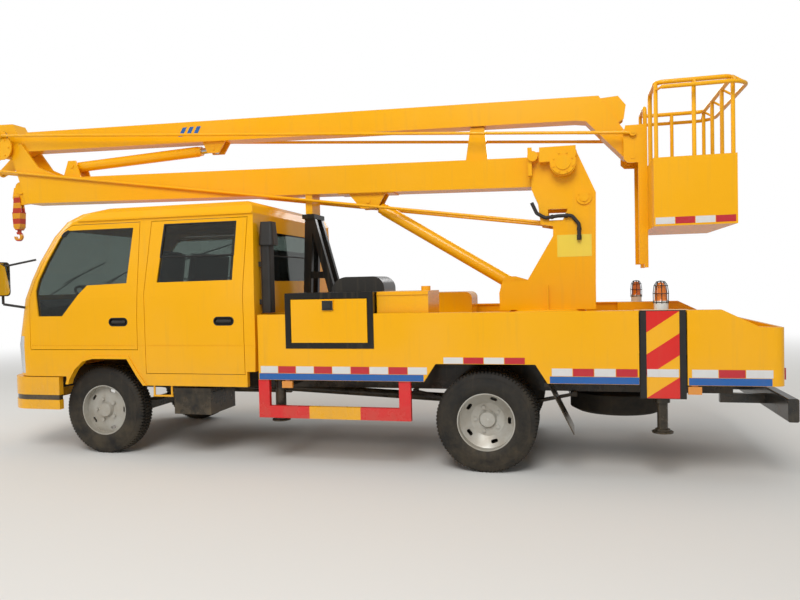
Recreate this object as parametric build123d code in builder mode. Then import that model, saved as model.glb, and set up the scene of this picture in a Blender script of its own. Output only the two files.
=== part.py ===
"""Double-cab light truck with a folding boom and a work basket, stowed for the road."""

import os

from build123d import *

os.makedirs("parts", exist_ok=True)

# Driving dimensions in millimetres. +X runs to the rear, -Y is the left side, +Z is up.
front_axle_x = -1714.0
wheelbase = 3360.0
front_track = 1504.0
rear_track = 1425.0

# Wheels and tyres, 7.00 R16
tyre_radius = 382.0
tyre_width = 195.0
tyre_wall = 20.0
rim_radius = 218.0
rim_wall = 8.0
twin_spacing = 230.0
stub_radius = 30.0
rear_stub_radius = 40.0
rear_stub_end = 785.0
kingpin_y = 660.0
kingpin_radius = 19.0

# Spare wheel under the tail
spare_x = 4360.0
spare_z = 438.0

# Ladder frame
rail_y = 350.0
rail_depth = 180.0
rail_flange = 62.0
rail_wall = 8.0
rail_top = 720.0
frame_front = -820.0
frame_rear = 5180.0

# Cab
cab_half = 930.0
cab_wall = 45.0
cab_front = -900.0
cab_rear = 1510.0
cab_roof = 2150.0
cab_sill = 480.0
cab_corner = 230.0
floor_z = 870.0
floor_thick = 40.0
panel_gap = 5.0
glass_depth = 12.0
glass_thick = 6.0

# Deck body
deck_front = 1555.0
deck_rear = 5380.0
deck_half = 973.0
deck_wall = 30.0
deck_bottom = 690.0
deck_top = 1210.0
deck_floor = 900.0
deck_floor_thick = 40.0
tail_top = 1085.0
pedestal_top = 1120.0

# Boom geometry: pins are given as (distance behind the front axle, height)
slew_x = 3797.0
boom_pivot = (4110.0, 2110.0)
knuckle = (-1630.0, 2910.0)
basket_pin = (4495.0, 2485.0)
lower_link = (-310.0, -193.0)
upper_link = (0.0, 120.0)
lift_base = (3487.0, 1418.0)
lift_eye = (2237.0, 2185.0)
fold_base = (-864.0, 2690.0)
fold_eye = (700.0, 2765.0)
hook_pin = (-1600.0, 2400.0)
lower_half = 112.0
lower_depth = 250.0
upper_half = 86.0
upper_depth = 195.0
boom_wall = 6.0
lug_thick = 20.0
turret_inner = 165.0
turret_plate = 20.0
link_radius = 14.0
link_plate = 15.0
pin_gap = 0.08
seat_gap = 0.3
clear = 6.0
# Level rods: the lower pair runs just inside the turret plates, the upper pair outside the link plates
lower_rod_y = turret_inner - link_radius * 2 - 3.0
link_inner = lower_rod_y + link_radius + clear
link_outer = link_inner + link_plate
upper_rod_y = link_outer + clear + link_radius
# Pins: radius at each joint of the boom
pin_radius = 30.0
basket_pin_radius = 26.0
pivot_drop = 60.0
lift_base_radius = 24.0
lift_eye_radius = 22.0
fold_base_radius = 20.0
fold_eye_radius = 18.0
rod_pin_radius = 12.0
turret_rod_pin_radius = 16.0
hook_pin_radius = 14.0

# Basket
basket_front = 4605.0
basket_length = 575.0
basket_half = 570.0
basket_floor = 1830.0
basket_panel = 500.0
basket_rail = 2890.0
basket_wall = 5.0
tube_radius = 17.0
hand_rail_out = 95.0
hand_rail_drop = 60.0
mast_front = 4575.0
mast_bottom = 1520.0
mast_top = 2670.0

sides = (("left", -1), ("right", 1))


def back(distance):
    """X of a place this far behind the front axle."""
    return front_axle_x + distance


def save(piece, name):
    """Label a finished piece and write its file."""
    piece.part.label = name
    export_step(piece.part, f"parts/{name}.step")


def block(x, y, z, mode=Mode.ADD):
    """A box between the low and high values of x, y and z."""
    with Locations(((x[0] + x[1]) / 2, (y[0] + y[1]) / 2, (z[0] + z[1]) / 2)):
        Box(x[1] - x[0], abs(y[1] - y[0]), z[1] - z[0], mode=mode)


def plate(points, y, mode=Mode.ADD, radius=0.0):
    """A side-view outline of (distance behind the axle, height) points, from y[0] to y[1]."""
    with BuildSketch(Plane.XZ.offset(-y[0])) as outline:
        Polygon(*[(back(x), z) for x, z in points], align=None)
        if radius:
            fillet(outline.vertices(), radius)
    extrude(outline.sketch, amount=y[0] - y[1], mode=mode)


def disc(centre, radius, y, mode=Mode.ADD):
    """A round piece on an axis across the truck, from y[0] to y[1]."""
    with BuildSketch(Plane.XZ.offset(-y[0])) as face:
        with Locations((back(centre[0]), centre[1])):
            Circle(radius)
    extrude(face.sketch, amount=y[0] - y[1], mode=mode)


def rod(start, end, radius, mode=Mode.ADD):
    """A round bar between two points."""
    path = Vector(*end) - Vector(*start)
    with BuildSketch(Plane(origin=start, z_dir=path)) as face:
        Circle(radius)
    extrude(face.sketch, amount=path.length, mode=mode)


def tube_along(points, corner, radius, closed=False):
    """A round tube bent along straight runs, with the same bend radius at each corner."""
    with BuildLine() as route:
        FilletPolyline(*points, radius=corner, close=closed)
    with BuildSketch(Plane(origin=route.line @ 0, z_dir=route.line % 0)) as section:
        Circle(radius)
    sweep(section.sketch, path=route.line)


def both(low, high, s):
    """Y values of a stretch that lies low to high out from the middle, on the side s."""
    return sorted((s * low, s * high))


def spin(centre, points, mode=Mode.ADD):
    """A ring turned about an axle, from a section of (offset along the axle, radius) points."""
    section = Plane(origin=centre, x_dir=(0, 1, 0), z_dir=(1, 0, 0))
    with BuildSketch(section) as face:
        Polygon(*points, align=None)
    revolve(face.sketch, axis=Axis(centre, (0, 1, 0)), mode=mode)


# Wheels: one tyre section and one rim section serve every wheel
half_tyre = tyre_width / 2
tyre_section = [
    (-half_tyre + 14, rim_radius + seat_gap),
    (-half_tyre, rim_radius + 66),
    (-half_tyre + 6, tyre_radius - 44),
    (-half_tyre + 28, tyre_radius),
    (half_tyre - 28, tyre_radius),
    (half_tyre - 6, tyre_radius - 44),
    (half_tyre, rim_radius + 66),
    (half_tyre - 14, rim_radius + seat_gap),
    (half_tyre - 14 - tyre_wall, rim_radius + seat_gap),
    (half_tyre - 8 - tyre_wall, tyre_radius - 50),
    (-half_tyre + 8 + tyre_wall, tyre_radius - 50),
    (-half_tyre + 14 + tyre_wall, rim_radius + seat_gap),
]


def tyre(centre):
    """One tyre, hollow and open towards the rim."""
    spin(centre, tyre_section)


def rim(centre, face, dish):
    """One pressed rim: a barrel with a dished centre, vents, nuts and a hub cap.

    face is the way the outside looks along Y; dish is how far the centre stands out of it.
    """
    edge = half_tyre - 14
    inner = rim_radius - rim_wall
    spin(centre, [(-edge, rim_radius), (edge, rim_radius), (edge, inner), (-edge, inner)])
    shoulder = 128.0
    spin(
        centre,
        [
            (face * 20, rim_radius - 2),
            (face * (dish * 0.8), shoulder),
            (face * dish, 70),
            (face * (dish + 28), 56),
            (face * (dish + 30), 0),
            (face * (dish - 40), 0),
            (face * (dish - 10), 70),
            (face * (dish * 0.8 - 10), shoulder),
            (face * 8, rim_radius - 2),
        ],
    )
    vent_plane = Plane(origin=centre, x_dir=(1, 0, 0), z_dir=(0, face, 0))
    with BuildSketch(vent_plane.offset(-60)) as vents:
        with PolarLocations(168, 5):
            SlotOverall(54, 26, rotation=90)
    extrude(vents.sketch, amount=160, mode=Mode.SUBTRACT)
    with BuildSketch(vent_plane.offset(dish - 8)) as nuts:
        with PolarLocations(95, 5, start_angle=36):
            RegularPolygon(15, 6)
    extrude(nuts.sketch, amount=26)


front_rim_dish = 46.0
rear_rim_dish = -52.0
wheel_z = tyre_radius
hub_radius = 62.0

for side, s in sides:
    centre = (back(0), s * front_track / 2, wheel_z)
    with BuildPart() as front_tyre:
        tyre(centre)
    save(front_tyre, f"tyre_front_{side}")

    with BuildPart() as front_rim:
        rim(centre, s, front_rim_dish)
        disc((0, wheel_z), 118, (s * (front_track / 2 - 30), s * (front_track / 2 + 20)))
        disc(
            (0, wheel_z),
            stub_radius + pin_gap,
            (s * (front_track / 2 - 31), s * (front_track / 2 + 40)),
            mode=Mode.SUBTRACT,
        )
    save(front_rim, f"rim_front_{side}")

    with BuildPart() as knuckle_piece:
        hub_face = s * (front_track / 2 - 36)
        disc((0, wheel_z), 130, (hub_face, hub_face - s * 14))
        disc((0, wheel_z), stub_radius, (hub_face, s * (front_track / 2 + 40)))
        block(
            (back(-45), back(45)),
            sorted((s * (kingpin_y - 38), hub_face - s * 4)),
            (wheel_z - 95, wheel_z - 62),
        )
        block(
            (back(-45), back(45)),
            sorted((s * (kingpin_y - 38), hub_face - s * 4)),
            (wheel_z + 62, wheel_z + 95),
        )
        rod((back(0), s * kingpin_y, wheel_z - 95), (back(0), s * kingpin_y, wheel_z + 95), kingpin_radius)
        block(
            (back(20), back(170)),
            sorted((s * (kingpin_y - 30), s * kingpin_y)),
            (wheel_z - 92, wheel_z - 66),
        )
    save(knuckle_piece, f"knuckle_{side}")

    with BuildPart() as twin_tyres:
        for place in (-twin_spacing / 2, twin_spacing / 2):
            tyre((back(wheelbase), s * (rear_track / 2 + place), wheel_z))
    save(twin_tyres, f"tyres_rear_{side}")

    with BuildPart() as twin_rims:
        outer = (back(wheelbase), s * (rear_track + twin_spacing) / 2, wheel_z)
        inner = (back(wheelbase), s * (rear_track - twin_spacing) / 2, wheel_z)
        rim(outer, s, rear_rim_dish)
        rim(inner, s, -rear_rim_dish)
        disc((wheelbase, wheel_z), 96, (inner[1] + s * 30, outer[1] - s * 70))
        bore = rear_stub_radius + pin_gap
        disc((wheelbase, wheel_z), bore, (s * 500, s * (rear_stub_end + pin_gap)), mode=Mode.SUBTRACT)
    save(twin_rims, f"rims_rear_{side}")

# Ladder frame with its cross members, outrigger sleeves, jack tubes and slewing pedestal
jack_x = 1685.0
jack_y = deck_half - 128.0
jack_radius = 43.0
jack_wall = 7.0
jack_bottom = 395.0
outrigger_x = 4605.0
outrigger_half = 65.0
outrigger_z = (740.0, 880.0)
sleeve_wall = 8.0
sleeve_end = deck_half - 135.0
subframe_top = deck_floor
jack_leg_radius = 30.0

cross_lift = 30.0
cross_width = 70.0
cross_members = (frame_front, 640, 1500, 2300, 3000, 3900, spare_x - 35, frame_rear - 80)
deck_members = (1640, 2500, 3300, 4250, 5060)
pedestal_radius = 290.0
flap_x = (3812.0, 4003.0)
flap_z = (316.0, 690.0)

with BuildPart() as chassis_frame:
    for side, s in sides:
        web = both(rail_y, rail_y + rail_wall, s)
        flange = both(rail_y - rail_flange, rail_y, s)
        block((back(frame_front), back(frame_rear)), web, (rail_top - rail_depth, rail_top))
        for z in (rail_top - rail_wall, rail_top - rail_depth):
            block((back(frame_front), back(frame_rear)), flange, (z, z + rail_wall))
        # Subframe rail above the chassis rail, from behind the cab to the tail
        block(
            (back(deck_front + deck_wall), back(frame_rear)),
            both(rail_y - rail_flange, rail_y, s),
            (rail_top, subframe_top),
        )
        # Cab mounts
        for x in (cab_front + 200, cab_rear - 190):
            block((back(x), back(x + 80)), both(rail_y - 50, rail_y, s), (rail_top, floor_z))
    for x in cross_members:
        block(
            (back(x), back(x + cross_width)),
            (-rail_y, rail_y),
            (rail_top - rail_depth + cross_lift, rail_top - cross_lift),
        )
    for x in deck_members:
        block(
            (back(x), back(x + 60)),
            (-deck_half + deck_wall, deck_half - deck_wall),
            (subframe_top - 60, subframe_top),
        )
    # Slewing pedestal, a drum with a flange under the turret
    with BuildSketch(Plane.XZ):
        Polygon(
            *[
                (back(slew_x) + radius, z)
                for radius, z in (
                    (0, rail_top - 40), (pedestal_radius, rail_top - 40),
                    (pedestal_radius, pedestal_top - 30),
                    (pedestal_radius + 40, pedestal_top - 22), (pedestal_radius + 40, pedestal_top),
                    (0, pedestal_top),
                )
            ],
            align=None,
        )
    revolve(axis=Axis((back(slew_x), 0, 0), (0, 0, 1)))
    # Front jack tubes with their brackets
    for side, s in sides:
        rod(
            (back(jack_x), s * jack_y, jack_bottom),
            (back(jack_x), s * jack_y, subframe_top - 60),
            jack_radius,
        )
        block(
            (back(jack_x - 30), back(jack_x + 30)),
            both(rail_y, jack_y - 20, s),
            (rail_top - 120, rail_top - 40),
        )
        rod(
            (back(jack_x), s * jack_y, jack_bottom - 1),
            (back(jack_x), s * jack_y, subframe_top - 90),
            jack_leg_radius + pin_gap,
            mode=Mode.SUBTRACT,
        )
        # Mud flap behind the rear wheels, hung from a bar on the rail
        plate(
            [
                (flap_x[0], flap_z[1]),
                (flap_x[0] + 8, flap_z[1]),
                (flap_x[1], flap_z[0]),
                (flap_x[1] - 8, flap_z[0]),
            ],
            both(rear_track / 2 - 130, rear_track / 2 + 220, s),
        )
        block(
            (back(flap_x[0] - 20), back(flap_x[0] + 6)),
            both(rail_y, rear_track / 2 + 220, s),
            (flap_z[1] - 30, flap_z[1]),
        )
    # Rear outrigger sleeve
    sleeve = outrigger_half + seat_gap + sleeve_wall
    block(
        (back(outrigger_x - sleeve), back(outrigger_x + sleeve)),
        (-sleeve_end, sleeve_end),
        (outrigger_z[0] - seat_gap - sleeve_wall, outrigger_z[1] + seat_gap + sleeve_wall),
    )
    block(
        (back(outrigger_x - outrigger_half - seat_gap), back(outrigger_x + outrigger_half + seat_gap)),
        (-sleeve_end - 1, sleeve_end + 1),
        (outrigger_z[0] - seat_gap, outrigger_z[1] + seat_gap),
        mode=Mode.SUBTRACT,
    )
save(chassis_frame, "chassis_frame")

# Front axle: dropped I beam with its leaf springs
spring_y = rail_y + 28
spring_width = 60.0

with BuildPart() as front_axle:
    beam_y = kingpin_y - 45
    drop = 60.0
    with BuildSketch(Plane.YZ.offset(back(-35))):
        with BuildLine():
            Polyline(
                (-beam_y - 12, wheel_z - 60),
                (-beam_y + 60, wheel_z - 60),
                (-spring_y + 70, wheel_z - drop - 45),
                (spring_y - 70, wheel_z - drop - 45),
                (beam_y - 60, wheel_z - 60),
                (beam_y + 12, wheel_z - 60),
                (beam_y + 12, wheel_z + 60),
                (beam_y - 60, wheel_z + 30),
                (spring_y - 70, wheel_z - drop + 45),
                (-spring_y + 70, wheel_z - drop + 45),
                (-beam_y + 60, wheel_z + 30),
                (-beam_y - 12, wheel_z + 60),
                close=True,
            )
        make_face()
    extrude(amount=70)
    for side, s in sides:
        rod(
            (back(0), s * kingpin_y, wheel_z - 60),
            (back(0), s * kingpin_y, wheel_z + 60),
            kingpin_radius + 18,
        )
        rod(
            (back(0), s * kingpin_y, wheel_z - 61),
            (back(0), s * kingpin_y, wheel_z + 61),
            kingpin_radius + pin_gap,
            mode=Mode.SUBTRACT,
        )
        leaf = sorted((s * (spring_y - spring_width / 2), s * (spring_y + spring_width / 2)))
        plate(
            [
                (-620, 520),
                (-300, 430),
                (0, 405),
                (300, 430),
                (620, 520),
                (620, 508),
                (300, 412),
                (0, 368),
                (-300, 412),
                (-620, 508),
            ],
            leaf,
        )
        block((back(-60), back(60)), leaf, (wheel_z - drop, 410))
        for x in (-620, 620):
            block((back(x - 20), back(x + 20)), leaf, (500, rail_top - rail_depth))
save(front_axle, "front_axle")

# Rear axle: tubes and differential housing, leaf springs and propshaft
with BuildPart() as rear_axle:
    tube_end = (rear_track - twin_spacing) / 2 - 20
    disc((wheelbase, wheel_z), 62, (-tube_end, tube_end))
    with Locations((back(wheelbase), 0, wheel_z)):
        Sphere(165)
    disc((wheelbase, wheel_z), 140, (-tube_end - 8, -tube_end + 50))
    disc((wheelbase, wheel_z), 140, (tube_end - 50, tube_end + 8))
    disc((wheelbase, wheel_z), rear_stub_radius, (-rear_stub_end, rear_stub_end))
    rod((back(564), 0, 518), (back(wheelbase - 120), 0, wheel_z + 10), 38)
    for side, s in sides:
        leaf = sorted((s * (spring_y - spring_width / 2), s * (spring_y + spring_width / 2)))
        near = wheelbase
        plate(
            [
                (near - 650, 530), (near - 330, 465), (near, 450), (near + 330, 465), (near + 650, 530),
                (near + 650, 512), (near + 330, 440), (near, 400), (near - 330, 440), (near - 650, 512),
            ],
            leaf,
        )
        for x in (near - 650, near + 650):
            block((back(x - 20), back(x + 20)), leaf, (505, rail_top - rail_depth))
save(rear_axle, "rear_axle")

# Engine with gearbox and exhaust, one plain closed mass
with BuildPart() as engine:
    block((back(-420), back(330)), (-270, 270), (500, 830))
    block((back(-200), back(-110)), (-rail_y, rail_y), (600, 640))
    block((back(330), back(560)), (-140, 140), (490, 690))
    rod((back(200), 200, 520), (back(720), 265, 455), 28)
    rod((back(700), 265, 455), (back(1300), 265, 455), 75)
    rod((back(1280), 265, 455), (back(1750), 265, 455), 28)
save(engine, "engine")

# Battery box on the left and fuel tank on the right, hung on the rails
tank_bottom = 380.0
tank_top = 600.0
with BuildPart() as tanks:
    # Battery box with its lid lip on the left
    block((back(740), back(1080)), (-cab_half + 30, -cab_half + 450), (tank_bottom, tank_top))
    block((back(734), back(1086)), (-cab_half + 24, -cab_half + 456), (tank_top - 46, tank_top - 34))
    block((back(790), back(1030)), (-cab_half + 450, -rail_y - rail_wall), (tank_top - 40, tank_top))
    # Fuel tank with round corners and two straps on the right
    with BuildSketch(Plane.YZ.offset(back(740))) as tank_end:
        with Locations((cab_half - 250, (tank_bottom + tank_top) / 2)):
            RectangleRounded(400, tank_top - tank_bottom, 55)
    extrude(tank_end.sketch, amount=700)
    for x in (850, 1290):
        with BuildSketch(Plane.YZ.offset(back(x))) as strap:
            with Locations((cab_half - 250, (tank_bottom + tank_top) / 2)):
                RectangleRounded(408, tank_top - tank_bottom + 8, 59)
        extrude(strap.sketch, amount=40)
    block((back(850), back(1330)), (rail_y + rail_wall, cab_half - 440), (tank_top - 60, tank_top - 20))
save(tanks, "tanks")

# Spare wheel lying under the tail, its hub bolted up to a cross member
with BuildPart() as spare_wheel:
    with BuildSketch(Plane.XZ) as spare_section:
        Polygon(
            *[
                (back(spare_x) + radius, spare_z + height)
                for radius, height in (
                    (0, -20), (100, -60), (rim_radius, -60), (rim_radius + 40, -half_tyre + 4),
                    (tyre_radius - 50, -half_tyre + 4), (tyre_radius, -half_tyre + 30),
                    (tyre_radius, half_tyre - 30),
                    (tyre_radius - 50, half_tyre - 4), (rim_radius + 40, half_tyre - 4),
                    (rim_radius, 60), (100, 60),
                    (100, rail_top - rail_depth + cross_lift - spare_z),
                    (0, rail_top - rail_depth + cross_lift - spare_z),
                )
            ],
            align=None,
        )
    revolve(axis=Axis((back(spare_x), 0, 0), (0, 0, 1)))
save(spare_wheel, "spare_wheel")

# Cab forms: rings from the sill to the roof, lofted one to the next, and the same rings set in
cab_rings = (
    # height, front, rear, half width, front corner, rear corner
    (cab_sill, cab_front + 22, cab_rear - 15, cab_half - 6, cab_corner, 60.0),
    (960.0, cab_front, cab_rear, cab_half, cab_corner, 60.0),
    (1370.0, cab_front + 70, cab_rear, cab_half, cab_corner + 10, 60.0),
    (1540.0, cab_front + 142, cab_rear - 2, cab_half - 8, cab_corner + 10, 60.0),
    (1700.0, cab_front + 232, cab_rear - 4, cab_half - 18, cab_corner, 60.0),
    (1915.0, cab_front + 386, cab_rear - 7, cab_half - 30, cab_corner - 10, 65.0),
    (2040.0, cab_front + 530, cab_rear - 10, cab_half - 38, cab_corner - 30, 70.0),
    (2105.0, cab_front + 670, cab_rear - 32, cab_half - 72, cab_corner - 50, 90.0),
    (cab_roof, cab_front + 850, cab_rear - 110, cab_half - 165, cab_corner - 60, 110.0),
)


def cab_ring(row, inset, drop):
    """One level outline of the cab, set in by inset and lowered by drop."""
    height, front, rear, half, front_corner, rear_corner = row
    with BuildSketch(Plane.XY.offset(height - drop)) as outline:
        Polygon(
            (back(front + inset), -half + inset),
            (back(rear - inset), -half + inset),
            (back(rear - inset), half - inset),
            (back(front + inset), half - inset),
            align=None,
        )
        corners = outline.vertices().sort_by(Axis.X)
        fillet(corners[:2], front_corner - inset)
        fillet(corners[-2:], max(rear_corner - inset, 10.0))
    return outline.sketch


def cab_form(inset):
    """Fill the current part with the cab's form, set in by inset, with a flat roof and no floor."""
    rings = []
    for row in cab_rings:
        drop = inset if row[0] == cab_roof else inset * 0.5 if row[0] > 2100 else 0.0
        rings.append(cab_ring(row, inset, drop))
    for low, high in zip(rings, rings[1:]):
        loft([low, high], ruled=True)


cab_forms = {}
for inset in (0.0, glass_depth, glass_depth + glass_thick, cab_wall, cab_wall + seat_gap):
    with BuildPart() as form:
        cab_form(inset)
    cab_forms[inset] = form.part

front_door = [
    (-655, 925), (418, 925), (421, 1200), (458, 2003), (-205, 2003), (-290, 1968),
    (-368, 1905), (-512, 1695), (-605, 1530), (-655, 1400),
]
rear_door = [(500, 725), (1410, 725), (1406, 1400), (1450, 2003), (575, 2003), (500, 1400)]
front_window = [
    (-568, 1215), (-320, 1215), (-150, 1400), (-60, 1478), (330, 1490), (396, 1960),
    (-255, 1960), (-300, 1940), (-345, 1890), (-475, 1690), (-560, 1535), (-590, 1440),
]
rear_window = [(619, 1489), (1316, 1495), (1354, 1975), (694, 1975)]
arch = [
    (-345, 200), (-308, 520), (-262, 660), (-205, 750), (-120, 822), (-20, 844),
    (316, 844), (408, 700), (483, 600), (483, 200),
]
door_outlines = {"front": front_door, "rear": rear_door}
window_outlines = {"front": front_window, "rear": rear_window}
door_seam = {"front": -655.0, "rear": 500.0}
hinge_heights = {"front": (985.0, 1330.0), "rear": (800.0, 1300.0)}
hinge_height = 60.0
hinge_set_back = {"front": 20.0, "rear": 6.0}
door_reach = {-1: (-1000, -790), 1: (790, 1000)}


grip_x = {"front": 240.0, "rear": 1233.0}
grip_z = 1160.0
grip_size = (176.0, 64.0)
grip_depth = 24.0
swage_z = 960.0
swage_depth = 3.0
lip_width = 26.0
lip_height = 9.0
rail_z = 2034.0


def swage_line(s, mode):
    """The pressed line along the cab's side below the grips."""
    block(
        (back(-640), back(cab_rear + 5)),
        sorted((s * (cab_half - swage_depth), s * (cab_half + 5))),
        (swage_z - 3, swage_z + 3),
        mode=mode,
    )


def outline_prism(points, y, grow=0.0, mode=Mode.INTERSECT):
    """Cut or keep what lies inside a side-view outline, grown or shrunk by grow."""
    with BuildSketch(Plane.XZ.offset(-y[0])) as face:
        Polygon(*[(back(x), z) for x, z in points], align=None)
        if grow:
            offset(amount=grow, kind=Kind.INTERSECTION)
    extrude(face.sketch, amount=y[0] - y[1], mode=mode)


screen_half = (835.0, 745.0)
screen_z = (1400.0, 1975.0)
back_window = ((-560.0, 560.0), (1480.0, 1900.0))


def screen_prism(grow, mode):
    """The windscreen opening, looking along the truck."""
    with BuildSketch(Plane.YZ.offset(back(cab_front - 100))) as opening:
        Polygon(
            (-screen_half[0], screen_z[0]),
            (screen_half[0], screen_z[0]),
            (screen_half[1], screen_z[1]),
            (-screen_half[1], screen_z[1]),
            align=None,
        )
        fillet(opening.vertices(), 60)
        if grow:
            offset(amount=grow)
    extrude(opening.sketch, amount=750, mode=mode)


def back_prism(grow, mode):
    """The rear window opening, looking along the truck."""
    with BuildSketch(Plane.YZ.offset(back(cab_rear - 200))) as opening:
        with Locations((0, sum(back_window[1]) / 2)):
            RectangleRounded(
                back_window[0][1] * 2 + 2 * grow,
                back_window[1][1] - back_window[1][0] + 2 * grow,
                60,
            )
    extrude(opening.sketch, amount=300, mode=mode)


bumper_z = (395.0, 680.0)
grille_z = (800.0, 860.0, 920.0)
step_x = (560.0, 725.0)
step_z = (532.0, 620.0)
step_wire = 9.0
lamp_x = (cab_front - 10, -735.0)
lamp_y = (600.0, cab_half + 20)
lamp_z = (712.0, 1040.0)


def lamp_prism(grow, mode):
    """The head lamps' openings in the cab's front corners."""
    for s in (-1, 1):
        block(
            (back(lamp_x[0]), back(lamp_x[1] + grow)),
            sorted((s * (lamp_y[0] - grow), s * lamp_y[1])),
            (lamp_z[0] - grow, lamp_z[1] + grow),
            mode=mode,
        )


with BuildPart() as cab_shell:
    add(cab_forms[0.0])
    add(cab_forms[cab_wall], mode=Mode.SUBTRACT)
    with BuildSketch(Plane.XY.offset(floor_z)) as floor_plan:
        Polygon(
            (back(cab_front + 38), -cab_half + 40),
            (back(cab_rear - 40), -cab_half + 40),
            (back(cab_rear - 40), cab_half - 40),
            (back(cab_front + 38), cab_half - 40),
            align=None,
        )
        fillet(floor_plan.vertices().sort_by(Axis.X)[:2], cab_corner - 40)
    extrude(amount=floor_thick)
    for side, s in sides:
        for row in ("front", "rear"):
            outline_prism(door_outlines[row], door_reach[s], panel_gap, Mode.SUBTRACT)
    screen_prism(0.0, Mode.SUBTRACT)
    back_prism(0.0, Mode.SUBTRACT)
    for side, s in sides:
        swage_line(s, Mode.SUBTRACT)
        # Pressed lip round the wheel arch and the rain rail along the roof
        lip = sorted((s * (cab_half - 12), s * (cab_half + lip_height)))
        plate([(x, z) for x, z in arch], lip)
        outline_prism(arch, lip, lip_width, Mode.ADD)
        block(
            (back(-150), back(cab_rear - 12)),
            sorted((s * (cab_half - 52), s * (cab_half - 24))),
            (rail_z, rail_z + 14),
        )
    outline_prism(arch, (-1000, 1000), 0.0, Mode.SUBTRACT)
    # Grille slots in the front panel
    for z in grille_z:
        block((back(cab_front - 10), back(cab_front + 80)), (-430, 430), (z, z + 26), mode=Mode.SUBTRACT)
    below = (-cab_half - 60, cab_half + 60)
    block((back(-360), back(cab_rear + 10)), below, (100, step_z[1]), mode=Mode.SUBTRACT)
    block((back(cab_front - 10), back(-300)), below, (100, bumper_z[1] + 8), mode=Mode.SUBTRACT)
    block((back(cab_rear - 80), back(cab_rear + 10)), below, (100, 745), mode=Mode.SUBTRACT)
    lamp_prism(0.0, Mode.SUBTRACT)
    # Wire steps below the front doors
    for side, s in sides:
        y = s * (cab_half - cab_wall / 2)
        for x in step_x:
            rod((back(x), y, step_z[1] + 20), (back(x), y, step_z[0]), step_wire)
        rod(
            (back(step_x[0] - step_wire), y, step_z[0]),
            (back(step_x[1] + step_wire), y, step_z[0]),
            step_wire,
        )
save(cab_shell, "cab_shell")

with BuildPart() as cab_glass:
    add(cab_forms[glass_depth])
    add(cab_forms[glass_depth + glass_thick], mode=Mode.SUBTRACT)
    screen_prism(-pin_gap, Mode.INTERSECT)
with BuildPart() as back_glass:
    add(cab_forms[glass_depth])
    add(cab_forms[glass_depth + glass_thick], mode=Mode.SUBTRACT)
    back_prism(-pin_gap, Mode.INTERSECT)
with BuildPart() as cab_glasses:
    add(cab_glass.part)
    add(back_glass.part)
save(cab_glasses, "cab_glass")

for side, s in sides:
    for row in ("front", "rear"):
        with BuildPart() as door:
            add(cab_forms[0.0])
            add(cab_forms[cab_wall], mode=Mode.SUBTRACT)
            outline_prism(door_outlines[row], door_reach[s])
            outline_prism(window_outlines[row], door_reach[s], 0.0, Mode.SUBTRACT)
            swage_line(s, Mode.SUBTRACT)
            # Recessed grip behind the rear seam
            with BuildSketch(Plane.XZ.offset(-s * (cab_half + 10))) as grip:
                with Locations((back(grip_x[row]), grip_z)):
                    SlotOverall(grip_size[0], grip_size[1])
            extrude(grip.sketch, amount=s * (grip_depth + 10), mode=Mode.SUBTRACT)
            with BuildSketch(Plane.XZ.offset(-s * (cab_half - grip_depth))) as lever:
                with Locations((back(grip_x[row]), grip_z)):
                    SlotOverall(grip_size[0] - 44, 22)
            extrude(lever.sketch, amount=-s * (grip_depth - 3))
            # Hinge leaves that reach across the gap to the door post
            for z in hinge_heights[row]:
                block(
                    (back(door_seam[row] - panel_gap + seat_gap), back(door_seam[row] + 30)),
                    both(cab_half - cab_wall + 3, cab_half - hinge_set_back[row], s),
                    (z, z + hinge_height),
                )
        save(door, f"door_{row}_{side}")
        with BuildPart() as door_glass:
            add(cab_forms[glass_depth])
            add(cab_forms[glass_depth + glass_thick], mode=Mode.SUBTRACT)
            outline_prism(window_outlines[row], door_reach[s], -pin_gap)
        save(door_glass, f"glass_{row}_{side}")

# Bumper wrapping the cab's front corners
bumper_front = cab_front - 60
bumper_back = -375.0
strip_z = (478.0, 522.0)
with BuildPart() as bumper:
    with BuildSketch(Plane.XY.offset(bumper_z[0])) as bumper_plan:
        Polygon(
            (back(bumper_front), -cab_half),
            (back(bumper_back), -cab_half),
            (back(bumper_back), cab_half),
            (back(bumper_front), cab_half),
            align=None,
        )
        fillet(bumper_plan.vertices().sort_by(Axis.X)[:2], cab_corner + 20)
    extrude(amount=bumper_z[1] - bumper_z[0])
    with BuildSketch(Plane.XY.offset(bumper_z[0])) as bumper_inside:
        Polygon(
            (back(bumper_front + 50), -cab_half + 50),
            (back(0), -cab_half + 50),
            (back(0), cab_half - 50),
            (back(bumper_front + 50), cab_half - 50),
            align=None,
        )
        fillet(bumper_inside.vertices().sort_by(Axis.X)[:2], cab_corner - 30)
    extrude(amount=bumper_z[1] - bumper_z[0], mode=Mode.SUBTRACT)
    # Groove for the dark strip, and the lower air intake
    with BuildSketch(Plane.XY.offset(strip_z[0])) as groove:
        add(bumper_plan.sketch.moved(Location((0, 0, strip_z[0] - bumper_z[0]))))
        offset(amount=-6, mode=Mode.SUBTRACT)
    extrude(groove.sketch, amount=strip_z[1] - strip_z[0], mode=Mode.SUBTRACT)
    block((back(bumper_front - 10), back(bumper_front + 60)), (-330, 330), (560, 640), mode=Mode.SUBTRACT)
    for side, s in sides:
        block(
            (back(bumper_front + 40), back(frame_front)),
            both(rail_y - 50, rail_y + 5, s),
            (rail_top - rail_depth + 10, bumper_z[1] - 20),
        )
save(bumper, "bumper")

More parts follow.
